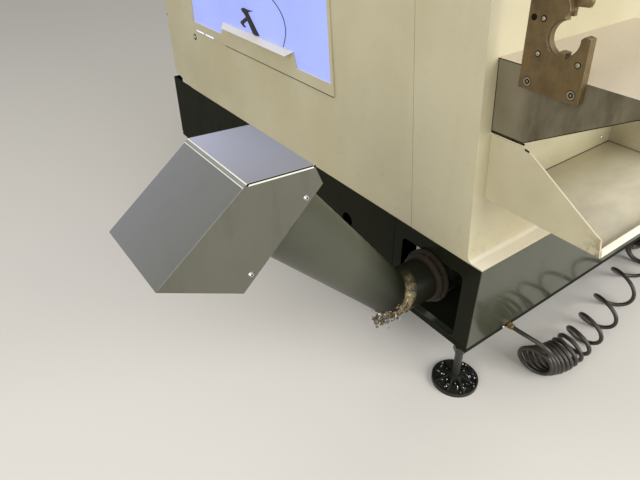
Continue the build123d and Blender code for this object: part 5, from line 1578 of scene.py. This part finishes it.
@dataclass
class SheetSeams(Details):
    """Overlaps, bare edges and gaps of the folded sheets: on the hood, the shelf and the tray."""

    hood_y: Pair = (60.0, 282.0)
    hood_top: tuple[Pair, Pair] = ((-620.0, 899.0), (-483.0, 891.0))
    hood_slope: Pair = (-0.797, -0.604)
    hood_fold: Pair = (-802.0, 761.0)
    screws: tuple[Pair, ...] = ((-502.0, 830.0), (-629.0, 712.0))
    # Start, width, height and slot of each strip down the slope and below the front edge.
    slope_strips: tuple[tuple, ...] = ((0.4, 2.4, 0.7, 0), (2.8, 6.8, 0.25, 1), (9.6, 1.6, 0.6, 0))
    front_strips: tuple[tuple, ...] = ((0.2, 2.2, 0.3, 2), (2.4, 3.0, 0.7, 0))
    shelf_face: float = 42.4
    shelf_edge: tuple[Pair, ...] = (
        (24.0, 973.2), (94.6, 973.2), (80.0, 807.6), (-8.0, 807.6), (-231.0, 937.6), (-249.6, 940.6),
    )
    tray_face: float = 44.0
    tray_lip: tuple[Pair, ...] = ((-31.0, 794.0), (-223.5, 679.8), (-239.5, 672.6), (-248.4, 629.5))

    def build(self) -> list[Piece]:
        """Make the strips of the hood, the shelf and the tray."""
        return [self.hood_sheet(), self.hood_sockets(), self.shelf_lines(), self.tray_lines()]

    def edge_lines(self, bm: Mesh, face: float, outline: tuple[Pair, ...], width: float, lift: float) -> None:
        """Run a thin strip along each edge of an outline on a face that looks to the left.

        Args:
            bm: The bmesh that gets the strips.
            face: X of the face.
            outline: Y and Z of its corners, in order.
            width: Width of the strips, inwards; outwards if negative.
            lift: Their thickness.
        """
        for (y0, z0), (y1, z1) in zip(outline, outline[1:]):
            run = Vector((0, y1 - y0, z1 - z0)).normalized()
            inward = Vector((0, -run.z, run.y))
            add_band(bm, (row(face, y0, z0), row(face, y1, z1)), inward * width, LEFT * lift)

    def hood_sheet(self) -> Piece:
        """Make the hood's top sheet, lapped over its sides: bare cut edges with a darker lap between.

        Returns:
            The piece.
        """
        bm = bmesh.new()
        (x0, z0), (x1, z1) = self.hood_top
        front, rear = self.hood_y
        slope = Vector((self.hood_slope[0], 0, self.hood_slope[1]))
        out = Vector((self.hood_slope[1], 0, -self.hood_slope[0]))
        for start, width, height, slot in self.slope_strips:
            ends = row(x0, front, z0) + slope * start * MM, row(x0, rear, z0) + slope * start * MM
            add_band(bm, ends, slope * width, out * height, slot)
        for start, width, height, slot in self.front_strips:
            ends = row(x0 + 1, front, z0 - start), row(x1 - 1, front, z1 - start)
            add_band(bm, ends, Vector((0, 0, -width)), FRONT * height, slot)
        for x, z in self.hood_top:
            rivet = [(0, -0.5), (2.6, -0.5), (2.6, 1.0), (0, 1.0)]
            add_disc_stack(bm, rivet, turned_to(FRONT, row(x, front, z - 2)), 12)
        for face in bm.faces:
            if face.calc_center_median().y < row(0, front - 0.9, 0).y:
                face.material_index = 2
        fold = row(x0, front, z0), row(self.hood_fold[0], front, self.hood_fold[1])
        add_band(bm, fold, Vector((0, 1.6, 0)), out * 0.25, 1)
        return self.piece("hood_top_sheet", bm, "burnished_sheet_edge grey_casting_paint black_oil_grime")

    def hood_sockets(self) -> Piece:
        """Make black hexagons in the hood's button screws, painted shade in their sockets.

        Returns:
            The piece.
        """
        bm = bmesh.new()
        for x, z in self.screws:
            placed = turned_to(FRONT, row(x, self.hood_y[0] - 2.6, z))
            add_disc_stack(bm, [(0, 0), (2.1, 0), (2.1, 0.95), (0, 0.95)], placed, 6)
        return self.piece("hood_screw_sockets", bm, "black_rubber_gasket")

    def shelf_lines(self) -> Piece:
        """Make the shadow gap of the shelf's end: at the wall, over the tray and along the sloping edge.

        Returns:
            The piece.
        """
        bm = bmesh.new()
        self.edge_lines(bm, self.shelf_face, self.shelf_edge, -1.5, 0.3)
        over = row(self.shelf_face + 0.4, 80.6, 806.6), row(self.shelf_face + 0.4, -12.0, 806.6)
        add_band(bm, over, Vector((0, 0, -4.2)), LEFT * -2.4)
        return self.piece("shelf_shadow_gap", bm, "black_oil_grime")

    def tray_lines(self) -> Piece:
        """Make the rubbed lip of the tray's end, painted pale as a highlight, its dark notch and the folds of
        its floor, darkened by grime and painted shade.

        Returns:
            The piece.
        """
        bm = bmesh.new()
        # A pale strip along the lip: rubbed coat painted as a highlight.
        self.edge_lines(bm, self.tray_face, self.tray_lip, 1.8, 0.4)
        notch = row(self.tray_face, -16, 797), row(self.tray_face, -28, 795)
        # Black strips along the floor's rear and right folds: grime and painted shade.
        rear_fold = row(46.2, 62.6, 630.7), row(597.8, 62.6, 630.7)
        right_fold = row(597.6, 62.0, 630.7), row(597.6, -240.0, 630.7)
        add_band(bm, notch, Vector((0, 0, -4.5)), LEFT * 0.5, 1)
        add_band(bm, rear_fold, FRONT * 2.2, Vector((0, 0, 0.4)), 1)
        add_band(bm, right_fold, LEFT * 2.4, Vector((0, 0, 0.4)), 1)
        return self.piece("tray_edge_lines", bm, "rubbed_cream_edge black_oil_grime")


@dataclass
class PendantFront(Details):
    """Screen and key rows on the pendant, all without lettering."""

    left: float = 1750.0
    base: float = 1150.0
    top: float = 1710.0
    screen_back: float = -264.0
    key_face: float = -270.0
    deck: float = -290.0

    def build(self) -> list[Piece]:
        """Make the screen, the keys beside it and the keys on the lower deck."""
        return [self.screen(), self.keys()]

    def screen(self) -> Piece:
        """Make the glass screen that fills its recess, inside a black bezel.

        Returns:
            The piece.
        """
        bm = bmesh.new()
        left, back, top = self.left, self.screen_back, self.top
        add_box(bm, row(left + 46, back - 8, top - 259), row(left + 334, back, top - 41), 1.5, 0)
        add_box(bm, row(left + 64, back - 9.5, top - 243), row(left + 316, back - 7, top - 57), 0.6, 1)
        return self.piece("pendant_screen", bm, "black_moulded_plastic dark_screen_glass", "pendant")

    def keys(self) -> Piece:
        """Make the rows of plain rounded keys.

        Returns:
            The piece.
        """
        bm = bmesh.new()
        beside = (self.left + 352, self.key_face, self.top - 66), (2, 9), (26, -23), (17.0, 13.0), 1.4
        below = (self.left + 128, self.deck, self.base + 26), (5, 3), (17, 17), (12, 11), 1.2
        for (x0, face, z0), (columns, lines), (right, up), (wide, high), edge in (beside, below):
            for column in range(columns):
                for line in range(lines):
                    x, z = x0 + column * right, z0 + line * up
                    add_box(bm, row(x, face - 4.0, z), row(x + wide, face + 1, z + high), edge)
        return self.piece("pendant_keys", bm, "pale_grey_key_plastic", "pendant")


def main() -> None:
    """Build the camera and the hose, dress every node, add the details and light the scene."""
    logging.basicConfig(level=logging.INFO, format="%(name)s: %(message)s")
    CameraRig().build()
    finishes = Finishes()
    AirHose().build(finishes)
    dresser = Dresser(finishes)
    [dresser.dress(node, dressing) for node, dressing in dressing_plan().items()]
    groups = (SlidingDoors, HatchDetails, TubeResidue, SheetSeams, SmallFastenings, PendantFront, PadSwarf)
    for group in groups:
        group(finishes).build()
    Stage().build()


if __name__ == "__main__":
    main()
